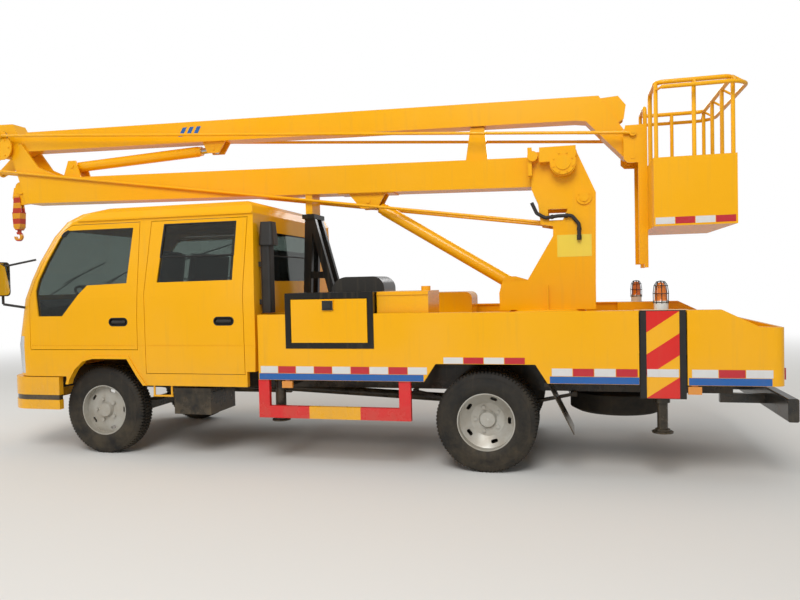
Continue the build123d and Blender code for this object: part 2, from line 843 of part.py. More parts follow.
# Lamps: head lamps in the front corners, side markers, tail lamps and the four beacons
marker_x = (1795.0, 4810.0)
marker_z = (626.0, 680.0)
beacon_y = deck_half - 83.0
beacon_foot = 48.0
beacon_spots = ((outrigger_x, -beacon_y), (outrigger_x, beacon_y))
with BuildPart() as lamp_space:
    lamp_prism(-seat_gap, Mode.ADD)
with BuildPart() as lamps:
    add(cab_forms[0.0])
    add(cab_forms[cab_wall], mode=Mode.SUBTRACT)
    add(lamp_space.part, mode=Mode.INTERSECT)
    for side, s in sides:
        for x in marker_x:
            block((back(x - 44), back(x + 44)), both(deck_half - 30, deck_half - 6, s), marker_z)
            block(
                (back(x - 20), back(x + 20)),
                both(deck_half - 26, deck_half - 16, s),
                (marker_z[1] - 4, deck_bottom),
            )
        block((back(deck_rear), back(deck_rear + 30)), both(600, 840, s), (720, 800))
    for x, y in beacon_spots:
        with BuildSketch(Plane.XZ.offset(-y)) as beacon_section:
            Polygon(
                *[
                    (back(x) + radius, deck_top + height)
                    for radius, height in (
                        (0, 0), (beacon_foot, 0), (beacon_foot, 62), (beacon_foot - 6, 75),
                        (beacon_foot - 8, 120), (beacon_foot - 16, 168), (beacon_foot - 30, 190), (0, 196),
                    )
                ],
                align=None,
            )
        revolve(beacon_section.sketch, axis=Axis((back(x), y, 0), (0, 0, 1)))
save(lamps, "lamps")

# Dashboard: one rounded section across the cab, with the steering column and wheel
dash_gap = 66.0
with BuildPart() as dashboard:
    plate(
        [
            (cab_front, floor_z + floor_thick), (cab_front + 230, floor_z + floor_thick),
            (cab_front + 260, 1120),
            (cab_front + 400, 1180), (cab_front + 390, 1300), (cab_front + 290, 1345), (cab_front, 1365),
        ],
        (dash_gap - cab_half, cab_half - dash_gap),
    )
    add(cab_forms[cab_wall + seat_gap], mode=Mode.INTERSECT)
    wheel_centre = Vector(back(cab_front + 530), -420, floor_z + 500)
    column = Vector(-0.55, 0, -0.83)
    rod(tuple(wheel_centre), tuple(wheel_centre + column * 330), 28)
    steering = Plane(origin=tuple(wheel_centre), x_dir=(0.83, 0, -0.55), z_dir=(0.55, 0, 0.83))
    with Locations(steering.location):
        Torus(190, 13)
    with BuildSketch(steering.offset(-10)) as spokes:
        Rectangle(370, 26)
        Circle(52)
    extrude(spokes.sketch, amount=20)
save(dashboard, "dashboard")

# Seats: two front seats and one rear bench, each a cushion and a raked back on a base
seat_table = (
    # front x, centre y, width, rake of the back
    (-120.0, -420.0, 480.0, 70.0),
    (-120.0, 330.0, 700.0, 70.0),
    (760.0, 0.0, 1560.0, 60.0),
)
seat_base = 1160.0
with BuildPart() as seats:
    for x, y, width, rake in seat_table:
        span = (y - width / 2, y + width / 2)
        inner = (span[0] + 30, span[1] - 30)
        block((back(x), back(x + 440)), inner, (floor_z + floor_thick, seat_base))
        plate(
            [
                (x - 20, seat_base),
                (x + 470, seat_base),
                (x + 470, seat_base + 110),
                (x - 20, seat_base + 140),
            ],
            (span[1], span[0]),
            radius=40,
        )
        plate(
            [
                (x + 370, seat_base + 40), (x + 490, seat_base + 40), (x + 500 + rake, seat_base + 620),
                (x + 400 + rake, seat_base + 620),
            ],
            (span[1], span[0]),
            radius=45,
        )
save(seats, "seats")

# Mirrors: a moulded housing on a bent arm at each front corner
mirror_z = (1400.0, 1700.0)
with BuildPart() as mirrors:
    for side, s in sides:
        knee = (back(cab_front + 35), s * (cab_half + 70), mirror_z[0] - 70)
        rod((back(cab_front + 175), s * (cab_half - 60), mirror_z[0] - 110), knee, 11)
        rod(knee, (knee[0], knee[1], mirror_z[0] + 20), 11)
        rod(
            (back(cab_front + 260), s * (cab_half - 80), mirror_z[1] + 20),
            (knee[0] + 8, knee[1], mirror_z[1] - 40),
            9,
        )
        facing_back = Plane(origin=(knee[0] + 26, 0, 0), x_dir=(0, 1, 0), z_dir=(-1, 0, 0))
        with BuildSketch(facing_back) as mirror_face:
            with Locations((knee[1] + s * 20, -sum(mirror_z) / 2)):
                RectangleRounded(160, mirror_z[1] - mirror_z[0], 38)
        extrude(mirror_face.sketch, amount=52, taper=8)
    add(cab_forms[0.0], mode=Mode.SUBTRACT)
save(mirrors, "mirrors")

# Air intake behind the cab: a duct with a hood on top, strapped to the back wall
intake_y = (-cab_half + 90, -cab_half + 190)
intake_z = (1220.0, 1775.0, 1965.0)
with BuildPart() as snorkel:
    for z in (1290, 1600):
        block((back(cab_rear), back(cab_rear + 30)), (intake_y[0] + 10, intake_y[1] - 10), (z, z + 40))
    with BuildSketch(Plane.XY.offset(intake_z[0])) as duct:
        with Locations((back(cab_rear + 62), sum(intake_y) / 2)):
            RectangleRounded(85, intake_y[1] - intake_y[0], 20)
    extrude(duct.sketch, amount=intake_z[1] - intake_z[0])
    with BuildSketch(Plane.XY.offset(intake_z[1])) as hood:
        with Locations((back(cab_rear + 75), sum(intake_y) / 2)):
            RectangleRounded(136, 136, 34)
    extrude(hood.sketch, amount=intake_z[2] - intake_z[1], taper=5)
save(snorkel, "snorkel")

# Deck body: folded side walls with the wheel arches cut, a floor and the outrigger recesses
body_side = [
    (deck_front, deck_bottom), (deck_rear, deck_bottom), (deck_rear, tail_top),
    (deck_rear - 165, tail_top + 8),
    (deck_rear - 395, deck_top), (deck_front, deck_top),
]
body_arch = [
    (wheelbase - 460, deck_bottom - 10), (wheelbase - 362, 826), (wheelbase + 374, 826),
    (wheelbase + 465, deck_bottom - 10),
]
striped_half = 152.0
recess_half = striped_half + clear
recess_plate = 20.0
toolbox_x = (1795.0, 2522.0)
toolbox_z = (deck_floor + deck_floor_thick, 1377.0)
deck_inner = deck_half - deck_wall

with BuildPart() as deck_body:
    plate(body_side, (-deck_half, deck_half))
    fillet(deck_body.edges().filter_by(Axis.Z).sort_by(Axis.X)[-2:], 70)
    for z in ((deck_floor + deck_floor_thick, deck_top + 50), (deck_bottom - 50, deck_floor)):
        block(
            (back(deck_front + deck_wall), back(deck_rear - deck_wall)),
            (-deck_inner, deck_inner),
            z,
            mode=Mode.SUBTRACT,
        )
    plate(body_arch, (-deck_half - 10, deck_half + 10), mode=Mode.SUBTRACT)
    # Folded rim along the top of each side wall
    for side, s in sides:
        block(
            (back(deck_front), back(deck_rear - 395)),
            both(deck_inner - 22, deck_inner, s),
            (deck_top - 12, deck_top),
        )
    block(
        (back(deck_front - 1), back(deck_front + deck_wall + 1)),
        (-rail_y - rail_wall - clear, rail_y + rail_wall + clear),
        (deck_bottom - 1, rail_top + clear),
        mode=Mode.SUBTRACT,
    )
    with BuildSketch(Plane.XY.offset(deck_floor - 10)) as pedestal_hole:
        with Locations((back(slew_x), 0)):
            Circle(pedestal_radius + seat_gap)
    extrude(pedestal_hole.sketch, amount=deck_floor_thick + 20, mode=Mode.SUBTRACT)
    for side, s in sides:
        block(
            (back(outrigger_x - recess_half), back(outrigger_x + recess_half)),
            both(sleeve_end, deck_half + 30, s),
            (deck_bottom - 50, deck_top + 50),
            mode=Mode.SUBTRACT,
        )
        block(
            (
                back(outrigger_x - recess_half - recess_plate),
                back(outrigger_x + recess_half + recess_plate),
            ),
            both(sleeve_end - 30, sleeve_end, s),
            (deck_floor, deck_top),
        )
        for x in (outrigger_x - recess_half - recess_plate, outrigger_x + recess_half):
            block(
                (back(x), back(x + recess_plate)),
                both(sleeve_end, deck_inner, s),
                (deck_floor, deck_top),
            )
        block(
            (back(outrigger_x - recess_half), back(outrigger_x + recess_half)),
            both(sleeve_end, deck_inner, s),
            (deck_top - 15, deck_top),
        )
    block(
        (back(toolbox_x[0]), back(toolbox_x[1])),
        (-deck_half - 1, -deck_inner + 24),
        (toolbox_z[0], deck_top + 10),
        mode=Mode.SUBTRACT,
    )
save(deck_body, "deck_body")

# Toolbox in the left wall, with a door hinged along its bottom edge
toolbox_wall = 8.0
toolbox_lip = 46.0
toolbox_face = -deck_half - 3
toolbox_back = -deck_half + 413
door_thick = 14.0
with BuildPart() as toolbox:
    wall = toolbox_wall
    block((back(toolbox_x[0]), back(toolbox_x[1])), (toolbox_face, toolbox_back), toolbox_z)
    block(
        (back(toolbox_x[0] + wall), back(toolbox_x[1] - wall)),
        (toolbox_face + door_thick + clear, toolbox_back - wall),
        (toolbox_z[0] + wall, toolbox_z[1] - wall),
        mode=Mode.SUBTRACT,
    )
    block(
        (back(toolbox_x[0] + toolbox_lip), back(toolbox_x[1] - toolbox_lip)),
        (toolbox_face - 1, toolbox_face + 60),
        (toolbox_z[0] + toolbox_lip, toolbox_z[1] - toolbox_lip),
        mode=Mode.SUBTRACT,
    )
save(toolbox, "toolbox")

with BuildPart() as toolbox_door:
    edge = toolbox_lip + panel_gap
    block(
        (back(toolbox_x[0] + edge), back(toolbox_x[1] - edge)),
        (toolbox_face, toolbox_face + door_thick),
        (toolbox_z[0] + toolbox_lip + seat_gap, toolbox_z[1] - edge),
    )
    # Pressed panel, and the latch at its top edge
    block(
        (back(toolbox_x[0] + edge + 40), back(toolbox_x[1] - edge - 40)),
        (toolbox_face + door_thick - 5, toolbox_face + door_thick + 1),
        (toolbox_z[0] + toolbox_lip + 40, toolbox_z[1] - edge - 40),
        mode=Mode.SUBTRACT,
    )
    block(
        (back(2109), back(2204)),
        (toolbox_face - 14, toolbox_face),
        (toolbox_z[1] - 130, toolbox_z[1] - edge - 6),
    )
save(toolbox_door, "toolbox_door")

# Deck boxes: the oil tank behind the toolbox, the valve chest opposite and the rounded cover
box_floor = deck_floor + deck_floor_thick
with BuildPart() as deck_boxes:
    block((back(2532), back(2938)), (-deck_inner + 43, -deck_inner + 493), (box_floor, box_floor + 435))
    block(
        (back(2532), back(2938)),
        (-deck_inner + 35, -deck_inner + 501),
        (box_floor + 408, box_floor + 420),
    )
    with BuildSketch(Plane.XY.offset(box_floor + 435)) as filler:
        with Locations((back(2850), -deck_inner + 390)):
            Circle(38)
    extrude(filler.sketch, amount=36)
    with BuildSketch(Plane.XZ.offset(-deck_inner + 43)) as chest:
        with Locations((back(2690), box_floor + 200)):
            RectangleRounded(780, 400, 60)
    extrude(chest.sketch, amount=420)
    with BuildSketch(Plane.XZ.offset(-toolbox_back - 420)) as cover:
        with BuildLine():
            Polyline((back(2030), box_floor), (back(2030), box_floor + 470))
            ThreePointArc(
                (back(2030), box_floor + 470), (back(2090), box_floor + 540), (back(2160), box_floor + 560)
            )
            Line((back(2160), box_floor + 560), (back(2380), box_floor + 560))
            ThreePointArc(
                (back(2380), box_floor + 560), (back(2460), box_floor + 530), (back(2490), box_floor + 450)
            )
            Polyline((back(2490), box_floor + 450), (back(2490), box_floor), (back(2030), box_floor))
        make_face()
    extrude(cover.sketch, amount=380)
save(deck_boxes, "deck_boxes")

# Side guards: two posts and a rail each side, and the rear underrun beam on its arms
guard_x = (1546.0, 2800.0)
guard_z = (384.0, 480.0)
guard_post = 92.0
underrun_x = (5400.0, 5470.0)
underrun_z = (440.0, 600.0)
with BuildPart() as guards:
    for side, s in sides:
        face = both(deck_half - 51, deck_half - 11, s)
        for x in (guard_x[0], guard_x[1] - guard_post):
            block((back(x), back(x + guard_post)), face, (guard_z[0], deck_bottom))
        block((back(guard_x[0]), back(guard_x[1])), face, guard_z)
    with BuildSketch(Plane.XZ.offset(-deck_half + 60)) as beam:
        with Locations((back(sum(underrun_x) / 2), sum(underrun_z) / 2)):
            RectangleRounded(underrun_x[1] - underrun_x[0], underrun_z[1] - underrun_z[0], 14)
    extrude(beam.sketch, amount=2 * (deck_half - 60))
    for side, s in sides:
        block(
            (back(frame_rear - 90), back(underrun_x[0] + 10)),
            both(rail_y - 50, rail_y, s),
            (rail_top - rail_depth - 70, rail_top - rail_depth),
        )
save(guards, "guards")

# Front jacks and rear outriggers
foot_z = (345.0, 372.0)
foot_radius = 74.0
leg_y = deck_half - 74.0
leg_radius = 36.0
leg_tube = 52.0
panel_y = deck_half - 12.0
for side, s in sides:
    with BuildPart() as jack:
        rod(
            (back(jack_x), s * jack_y, foot_z[1]),
            (back(jack_x), s * jack_y, subframe_top - 130),
            jack_leg_radius,
        )
        rod((back(jack_x), s * jack_y, foot_z[0]), (back(jack_x), s * jack_y, foot_z[0] + 10), foot_radius)
        rod(
            (back(jack_x), s * jack_y, foot_z[0] + 10),
            (back(jack_x), s * jack_y, foot_z[1]),
            foot_radius - 22,
        )
    save(jack, f"jack_{side}")

    with BuildPart() as outrigger_beam:
        block(
            (back(outrigger_x - outrigger_half), back(outrigger_x + outrigger_half)),
            both(20, leg_y - leg_tube + 14, s),
            outrigger_z,
        )
        rod((back(outrigger_x), s * leg_y, 560), (back(outrigger_x), s * leg_y, deck_top - 30), leg_tube)
        rod(
            (back(outrigger_x), s * leg_y, 559),
            (back(outrigger_x), s * leg_y, deck_top - 60),
            leg_radius + pin_gap,
            mode=Mode.SUBTRACT,
        )
        block(
            (back(outrigger_x - striped_half), back(outrigger_x + striped_half)),
            both(panel_y - 16, panel_y, s),
            (592, deck_top),
        )
    save(outrigger_beam, f"outrigger_beam_{side}")

    with BuildPart() as outrigger_leg:
        rod(
            (back(outrigger_x), s * leg_y, foot_z[1]),
            (back(outrigger_x), s * leg_y, deck_top - 110),
            leg_radius,
        )
        rod(
            (back(outrigger_x), s * leg_y, foot_z[0]),
            (back(outrigger_x), s * leg_y, foot_z[0] + 10),
            foot_radius - 2,
        )
        rod(
            (back(outrigger_x), s * leg_y, foot_z[0] + 10),
            (back(outrigger_x), s * leg_y, foot_z[1]),
            foot_radius - 24,
        )
    save(outrigger_leg, f"outrigger_leg_{side}")

# Boom rest behind the cab: a black A frame on the deck
rest_top = 2085.0
rest_bottom = deck_floor + deck_floor_thick
with BuildPart() as boom_rest:
    for side, s in sides:
        y = both(60, 110, s)
        plate([(1590, rest_bottom), (1660, rest_bottom), (1715, rest_top), (1640, rest_top)], y)
        plate([(1960, rest_bottom), (2030, rest_bottom), (1725, rest_top), (1665, rest_top)], y)
        plate([(1640, 1500), (1880, 1500), (1862, 1560), (1650, 1560)], both(70, 100, s))
    block((back(1620), back(1740)), (-130, 130), (rest_top - 40, rest_top))
    block((back(1590), back(2040)), (-130, 130), (rest_bottom, rest_bottom + 20))
save(boom_rest, "boom_rest")

# Turret: a round table under a box with two tall head plates, and the winch drive on the left one
turret_bottom = pedestal_top + seat_gap
table_top = turret_bottom + 70
head_plate = [
    (3410, table_top), (4191, table_top), (4205, 2143), (4061, 2476), (4055, 2500), (3690, 2500),
    (3690, 2190),
    (3740, 2075), (3760, 1900), (3860, 1880), (3858, 1800), (3640, 1432), (3520, 1432), (3433, 1425),
    (3406, 1336),
]
head_window = [(3822, 1930), (3940, 1930), (3980, 2020), (3822, 2023)]
turret_outer = turret_inner + turret_plate
winch_centre = (3948.0, 2386.0)
with BuildPart() as turret:
    with BuildSketch(Plane.XZ) as table_section:
        Polygon(
            *[
                (back(slew_x) + radius, z)
                for radius, z in (
                    (0, turret_bottom), (pedestal_radius + 30, turret_bottom),
                    (pedestal_radius + 40, turret_bottom + 12),
                    (pedestal_radius + 40, turret_bottom + 40), (pedestal_radius + 10, table_top),
                    (0, table_top),
                )
            ],
            align=None,
        )
    revolve(axis=Axis((back(slew_x), 0, 0), (0, 0, 1)))
    for side, s in sides:
        y = both(turret_inner, turret_outer, s)
        plate(head_plate, y)
        plate(head_window, y, mode=Mode.SUBTRACT)
        disc(boom_pivot, 62, both(turret_outer, turret_outer + 14, s))
        disc(boom_pivot, 38, both(turret_outer + 14, turret_outer + 22, s))
        plate(
            [(3410, table_top), (3640, table_top), (3640, 1440), (3530, 1475), (3450, 1475), (3410, 1400)],
            both(58, 76, s),
        )
        # Ribs that stiffen the head plates outside
        plate(
            [(3800, table_top), (3815, table_top), (3815, 1395), (3800, 1395)],
            both(turret_outer, turret_outer + 40, s),
        )
    block((back(3410), back(4191)), (-turret_inner, turret_inner), (table_top - 1, table_top + 20))
    block((back(4171), back(4195)), (-turret_inner, turret_inner), (table_top, 1900))
    block((back(3640), back(3660)), (-turret_inner, turret_inner), (table_top, 1420))
    disc(boom_pivot, pin_radius, (-turret_inner - 10, turret_inner + 10))
    disc(lift_base, lift_base_radius, (-90, 90))
    for side, s in sides:
        anchor = (boom_pivot[0] + lower_link[0], boom_pivot[1] + lower_link[1])
        disc(anchor, turret_rod_pin_radius, both(lower_rod_y - 12, turret_inner + 2, s))
    # Winch: drum case, end cap, gear case and the line guide, all on the left head plate
    face = -turret_outer
    disc(winch_centre, 105, (face - 92, face))
    disc(winch_centre, 96, (face - 105, face - 92))
    disc(winch_centre, 60, (face - 114, face - 105))
    plate([(3760, 2400), (4030, 2400), (4050, 2440), (4050, 2520), (3760, 2520)], (face - 90, face))
    disc((3705, 2455), 42, (face - 84, face))
    plate([(3668, 2300), (3698, 2300), (3700, 2530), (3664, 2530)], (face - 60, face))
save(turret, "turret")

# Lower boom: a hollow box beam with knuckle lugs at the front and a pivot tail
def lower_bottom(x):
    """Height of the lower boom's underside at a distance behind the axle."""
    return 2225 + (3600 - x) * 0.0224


def upper_bottom(x):
    """Height of the upper boom's underside at a distance behind the axle."""
    return 2757 + (4050 - x) * 0.0213


lower_nose = -1405.0
lower_tail = 3960.0


def lower_plate(points, y, mode=Mode.ADD):
    """A side outline given as (distance behind the axle, height above the lower boom's underside)."""
    plate([(x, lower_bottom(x) + rise) for x, rise in points], y, mode=mode)


def upper_plate(points, y, mode=Mode.ADD):
    """A side outline given as (distance behind the axle, height above the upper boom's underside)."""
    plate([(x, upper_bottom(x) + rise) for x, rise in points], y, mode=mode)


lift_ear = (55.0, 73.0)
fold_ear = (66.0, 82.0)
fold_rod_ear = (40.0, 58.0)
with BuildPart() as lower_boom:
    lower_plate(
        [(lower_nose, 0), (lower_tail, 0), (lower_tail, lower_depth), (lower_nose, lower_depth)],
        (-lower_half, lower_half),
    )
    lower_plate(
        [
            (lower_nose + 10, boom_wall), (lower_tail - 10, boom_wall),
            (lower_tail - 10, lower_depth - boom_wall), (lower_nose + 10, lower_depth - boom_wall),
        ],
        (-lower_half + boom_wall, lower_half - boom_wall),
        mode=Mode.SUBTRACT,
    )
    for side, s in sides:
        lug = both(lower_half - lug_thick, lower_half, s)
        plate(
            [
                (lower_nose, lower_bottom(lower_nose)), (-900, lower_bottom(-900)), (-1000, 2590),
                (-1250, 2700),
                (-1440, 2950), (-1640, 3010), (-1720, 2960), (-1735, 2880), (-1660, 2810),
                (-1560, 2820), (-1483, 2584),
            ],
            lug,
        )
        plate([(3700, 2215), (4090, 2020), (4190, 2050), (4200, 2150), (4000, 2470), (3700, 2460)], lug)
        # Doubler plates at the pivot and at the knuckle, and the lift cylinder's ears
        lower_plate(
            [(3560, 0), (3690, 0), (3690, lower_depth), (3560, lower_depth)],
            both(lower_half, lower_half + 4, s),
        )
        disc(knuckle, 74, both(lower_half, lower_half + 6, s))
        lower_plate([(1960, -8), (2480, -8), (2480, 4), (1960, 4)], both(0, lower_half - 10, s))
        plate(
            [
                (2050, lower_bottom(2050)),
                (2400, lower_bottom(2400)),
                (2330, 2130),
                (2275, 2118),
                (2170, 2118),
            ],
            both(*lift_ear, s),
        )
        # Lug for the fold cylinder's barrel
        lower_plate(
            [(-980, 230), (-760, 230), (fold_base[0] + 45, 420), (fold_base[0] - 45, 420)],
            both(*fold_ear, s),
        )
    disc(boom_pivot, 58, (-lower_half, lower_half))
    disc(boom_pivot, pin_radius + pin_gap, (-lower_half - 5, lower_half + 5), mode=Mode.SUBTRACT)
    disc(knuckle, pin_radius + pin_gap, (-lower_half - 8, lower_half + 8), mode=Mode.SUBTRACT)
    disc(fold_base, fold_base_radius, (-fold_ear[1] - 8, fold_ear[1] + 8))
    for side, s in sides:
        disc(lift_eye, lift_eye_radius, both(lift_ear[0], lift_ear[1] + 8, s))
    # Rest post for the upper boom and the saddle that lies on the boom rest
    plate(
        [
            (3125, lower_bottom(3125) + lower_depth - 4), (3316, lower_bottom(3316) + lower_depth - 4),
            (3290, upper_bottom(3290) - clear), (3171, upper_bottom(3171) - clear),
        ],
        (-60, 60),
    )
    block((back(1645), back(1710)), (-100, 100), (rest_top + clear, lower_bottom(1710) + 2))
    # Hook bracket under the nose, with its line pulley
    plate(
        [
            (lower_nose + 5, 2350), (lower_nose + 5, 2560), (-1500, 2570), (-1640, 2520), (-1660, 2420),
            (-1640, 2360), (-1570, 2340),
        ],
        (-15, 15),
    )
    disc((-1545, 2515), 62, (-32, -15))
    disc((-1545, 2515), 62, (15, 32))
    disc(hook_pin, hook_pin_radius + pin_gap, (-16, 16), mode=Mode.SUBTRACT)
save(lower_boom, "lower_boom")

# Level link at the knuckle: two plates joined by the knuckle pin, with the lower rods' pins
lower_anchor = (knuckle[0] + lower_link[0], knuckle[1] + lower_link[1])
upper_anchor = (knuckle[0] + upper_link[0], knuckle[1] + upper_link[1])
basket_anchor = (basket_pin[0] + upper_link[0], basket_pin[1] + upper_link[1])
turret_anchor = (boom_pivot[0] + lower_link[0], boom_pivot[1] + lower_link[1])
with BuildPart() as level_link:
    for side, s in sides:
        y = both(link_inner, link_outer, s)
        disc(knuckle, 120, y)
        disc(upper_anchor, 56, y)
        disc(lower_anchor, 42, y)
        plate(
            [
                (knuckle[0] - 30, knuckle[1] + 90), (lower_anchor[0] - 20, lower_anchor[1] + 38),
                (lower_anchor[0] + 20, lower_anchor[1] - 38), (knuckle[0] + 50, knuckle[1] - 90),
            ],
            y,
        )
        disc(
            upper_anchor,
            rod_pin_radius + pin_gap,
            both(link_inner - 1, link_outer + 1, s),
            mode=Mode.SUBTRACT,
        )
        disc(lower_anchor, rod_pin_radius, both(lower_rod_y - link_radius - 6, link_inner + 2, s))
    disc(knuckle, pin_radius, (-link_outer, link_outer))
save(level_link, "level_link")

# Pins that carry the upper rods on the level link
with BuildPart() as rod_pins:
    for side, s in sides:
        disc(upper_anchor, rod_pin_radius, both(link_inner - 8, upper_rod_y + link_radius + 6, s))
        disc(upper_anchor, 52, both(link_inner - 22, link_inner - 0.5, s))
save(rod_pins, "rod_pins")

# Level rods beside both booms, an eye at each end and a clamp collar along each rod
rod_table = (
    # node, height in Y, first eye and bore, second eye and bore, share of the length where the collar sits;
    # an eye with no bore carries its own pin
    ("lower_rods", lower_rod_y, turret_anchor, turret_rod_pin_radius, lower_anchor, rod_pin_radius, 0.37),
    ("upper_rods", upper_rod_y, upper_anchor, rod_pin_radius, basket_anchor, 0.0, 0.36),
)
for name, rod_y, first, first_bore, second, second_bore, collar in rod_table:
    with BuildPart() as rods:
        for side, s in sides:
            y = both(rod_y - link_radius, rod_y + link_radius, s)
            start = Vector(back(first[0]), s * rod_y, first[1])
            end = Vector(back(second[0]), s * rod_y, second[1])
            rod(tuple(start), tuple(end), link_radius - 1)
            rod(
                tuple(start + (end - start) * collar),
                tuple(start + (end - start) * (collar + 0.006)),
                link_radius,
            )
            rod(tuple(start + (end - start) * 0.93), tuple(end), link_radius)
            for eye, bore in ((first, first_bore), (second, second_bore)):
                disc(eye, 28, y)
                if bore > 0:
                    disc(eye, bore + pin_gap, (y[0] - 1, y[1] + 1), mode=Mode.SUBTRACT)
                else:
                    disc(eye, rod_pin_radius, both(link_outer + 2, rod_y + link_radius + 6, s))
    save(rods, name)

# Upper boom: a hollow box beam, cranked down at the basket end
upper_nose = -1400.0
with BuildPart() as upper_boom:
    plate(
        [
            (upper_nose, upper_bottom(upper_nose)), (4050, upper_bottom(4050)), (4138, 2745), (4290, 2580),
            (4445, 2415), (4520, 2415), (4550, 2500), (4422, 2675),
            (4240, upper_bottom(4240) + upper_depth),
            (upper_nose, upper_bottom(upper_nose) + upper_depth),
        ],
        (-upper_half, upper_half),
    )
    plate(
        [
            (upper_nose + 10, upper_bottom(upper_nose) + boom_wall), (4045, upper_bottom(4045) + boom_wall),
            (4140, 2758), (4250, 2640), (4330, 2680), (4235, upper_bottom(4235) + upper_depth - boom_wall),
            (upper_nose + 10, upper_bottom(upper_nose) + upper_depth - boom_wall),
        ],
        (-upper_half + boom_wall, upper_half - boom_wall),
        mode=Mode.SUBTRACT,
    )
    # Neck between the lower boom's lugs, with the cap over its root
    plate(
        [
            (upper_nose + 200, upper_bottom(upper_nose) + 20),
            (upper_nose + 200, upper_bottom(upper_nose) + upper_depth - 10), (-1491, 3046), (-1560, 3165),
            (-1736, 3171), (-1742, 3100), (-1640, 3010), (-1720, 2960), (-1725, 2880), (-1660, 2815),
            (-1560, 2815),
            (upper_nose, upper_bottom(upper_nose) + 5),
        ],
        (-upper_half + 2, upper_half - 2),
    )
    # Bracket and cheeks over the crank, where the rods' guide is bolted
    for side, s in sides:
        plate(
            [
                (4235, upper_bottom(4235) + upper_depth - 20), (4394, 2938), (4455, 2859), (4438, 2747),
                (4375, 2703),
                (4300, 2760),
            ],
            both(upper_half - 30, upper_half - 18, s),
        )
    disc((4400, 2850), 26, (-upper_half + 20, upper_half - 20))
    disc((4390, 2770), 20, (-upper_half + 20, upper_half - 20))
    disc(knuckle, pin_radius + pin_gap, (-upper_half - 5, upper_half + 5), mode=Mode.SUBTRACT)
    disc(basket_pin, basket_pin_radius + pin_gap, (-upper_half - 5, upper_half + 5), mode=Mode.SUBTRACT)
    # Ears and pin for the fold cylinder's rod
    for side, s in sides:
        upper_plate(
            [(590, 4), (830, 4), (fold_eye[0] + 60, -105), (fold_eye[0] - 60, -105)],
            both(*fold_rod_ear, s),
        )
        disc(fold_eye, fold_eye_radius, both(fold_rod_ear[0], fold_rod_ear[1] + 4, s))
save(upper_boom, "upper_boom")

# Hydraulic cylinders: a barrel with its eye and gland, and a rod with its eye
cylinder_table = (
    # name, barrel pin and its radius, rod pin and its radius, barrel radius, rod radius, rod showing,
    # inner half width of the rod's ears
    ("lift", lift_base, lift_base_radius, lift_eye, lift_eye_radius, 55.0, 30.0, 115.0, lift_ear[0]),
    ("fold", fold_base, fold_base_radius, fold_eye, fold_eye_radius, 50.0, 28.0, 150.0, fold_rod_ear[0]),
)
for name, base, base_pin, eye, eye_pin, barrel, shaft, showing, ear in cylinder_table:
    reach = Vector(eye[0] - base[0], 0, eye[1] - base[1])
    way = reach.normalized()
    start = Vector(back(base[0]), 0, base[1])
    barrel_end = reach.length - showing
    with BuildPart() as cylinder_barrel:
        rod(tuple(start + way * 25), tuple(start + way * (barrel_end - 40)), barrel)
        rod(tuple(start + way * (barrel_end - 60)), tuple(start + way * barrel_end), barrel - 5)
        disc(base, barrel - 3, (6 - barrel, barrel - 6))
        rod(
            tuple(start + way * 90),
            tuple(start + way * (barrel_end + 10)),
            shaft + pin_gap,
            mode=Mode.SUBTRACT,
        )
        disc(base, base_pin + pin_gap, (-barrel - 5, barrel + 5), mode=Mode.SUBTRACT)
    save(cylinder_barrel, f"{name}_cylinder_barrel")
    with BuildPart() as cylinder_rod:
        rod(tuple(start + way * 110), tuple(start + way * reach.length), shaft)
        disc(eye, shaft + 10, (12 - ear, ear - 12))
        disc(eye, eye_pin, (1 - ear, ear - 1))
    save(cylinder_rod, f"{name}_cylinder_rod")

# Hook block hanging under the boom's nose
hook_half = 27.0
with BuildPart() as hook_block:
    for side, s in sides:
        plate(
            [(-1635, 2436), (-1565, 2436), (-1545, 2265), (-1655, 2265)],
            both(15.0 + seat_gap, hook_half, s),
        )
    disc(hook_pin, hook_pin_radius, (-hook_half - 2, hook_half + 2))
    plate(
        [(-1650, 2266), (-1550, 2266), (-1560, 2110), (-1585, 2080), (-1615, 2080), (-1640, 2110)],
        (-40, 40),
    )
    with BuildSketch(Plane.XZ.offset(-14)) as hook:
        with Locations((back(-1612), 2014)):
            Circle(48)
            Circle(25, mode=Mode.SUBTRACT)
        with BuildLine():
            Polyline(
                (back(-1612), 2014),
                (back(-1655), 2110),
                (back(-1720), 2070),
                (back(-1700), 2020),
                (back(-1612), 2014),
            )
        make_face(mode=Mode.SUBTRACT)
        with Locations((back(-1603), 2062)):
            Rectangle(28, 46)
    extrude(hook.sketch, amount=28)
save(hook_block, "hook_block")

# Hose bundle strapped to the left head plate, from the boom's tail down to its fitting
hose_radius = 15.0
clip_wall = 4.0
hose_y = -turret_outer - hose_radius - clip_wall - seat_gap
hose_route = (
    (3690, 2080), (3730, 1990), (3800, 1950), (3900, 1962), (4010, 1962), (4068, 1890), (4068, 1800),
)
with BuildPart() as hoses:
    tube_along([(back(x), hose_y, z) for x, z in hose_route], 45, hose_radius)
    # Two clips that hold it to the plate, and the crimped fitting at its end
    for x, z, way in (
        (3844, 1955, (20, 0, 2)),
        (3960, 1962, (20, 0, 0)),
        (4068, 1860, (0, 0, -20)),
        (4068, 1801, (0, 0, -41)),
    ):
        start = Vector(back(x), hose_y, z)
        rod(tuple(start), tuple(start + Vector(*way)), hose_radius + clip_wall)
save(hoses, "hoses")

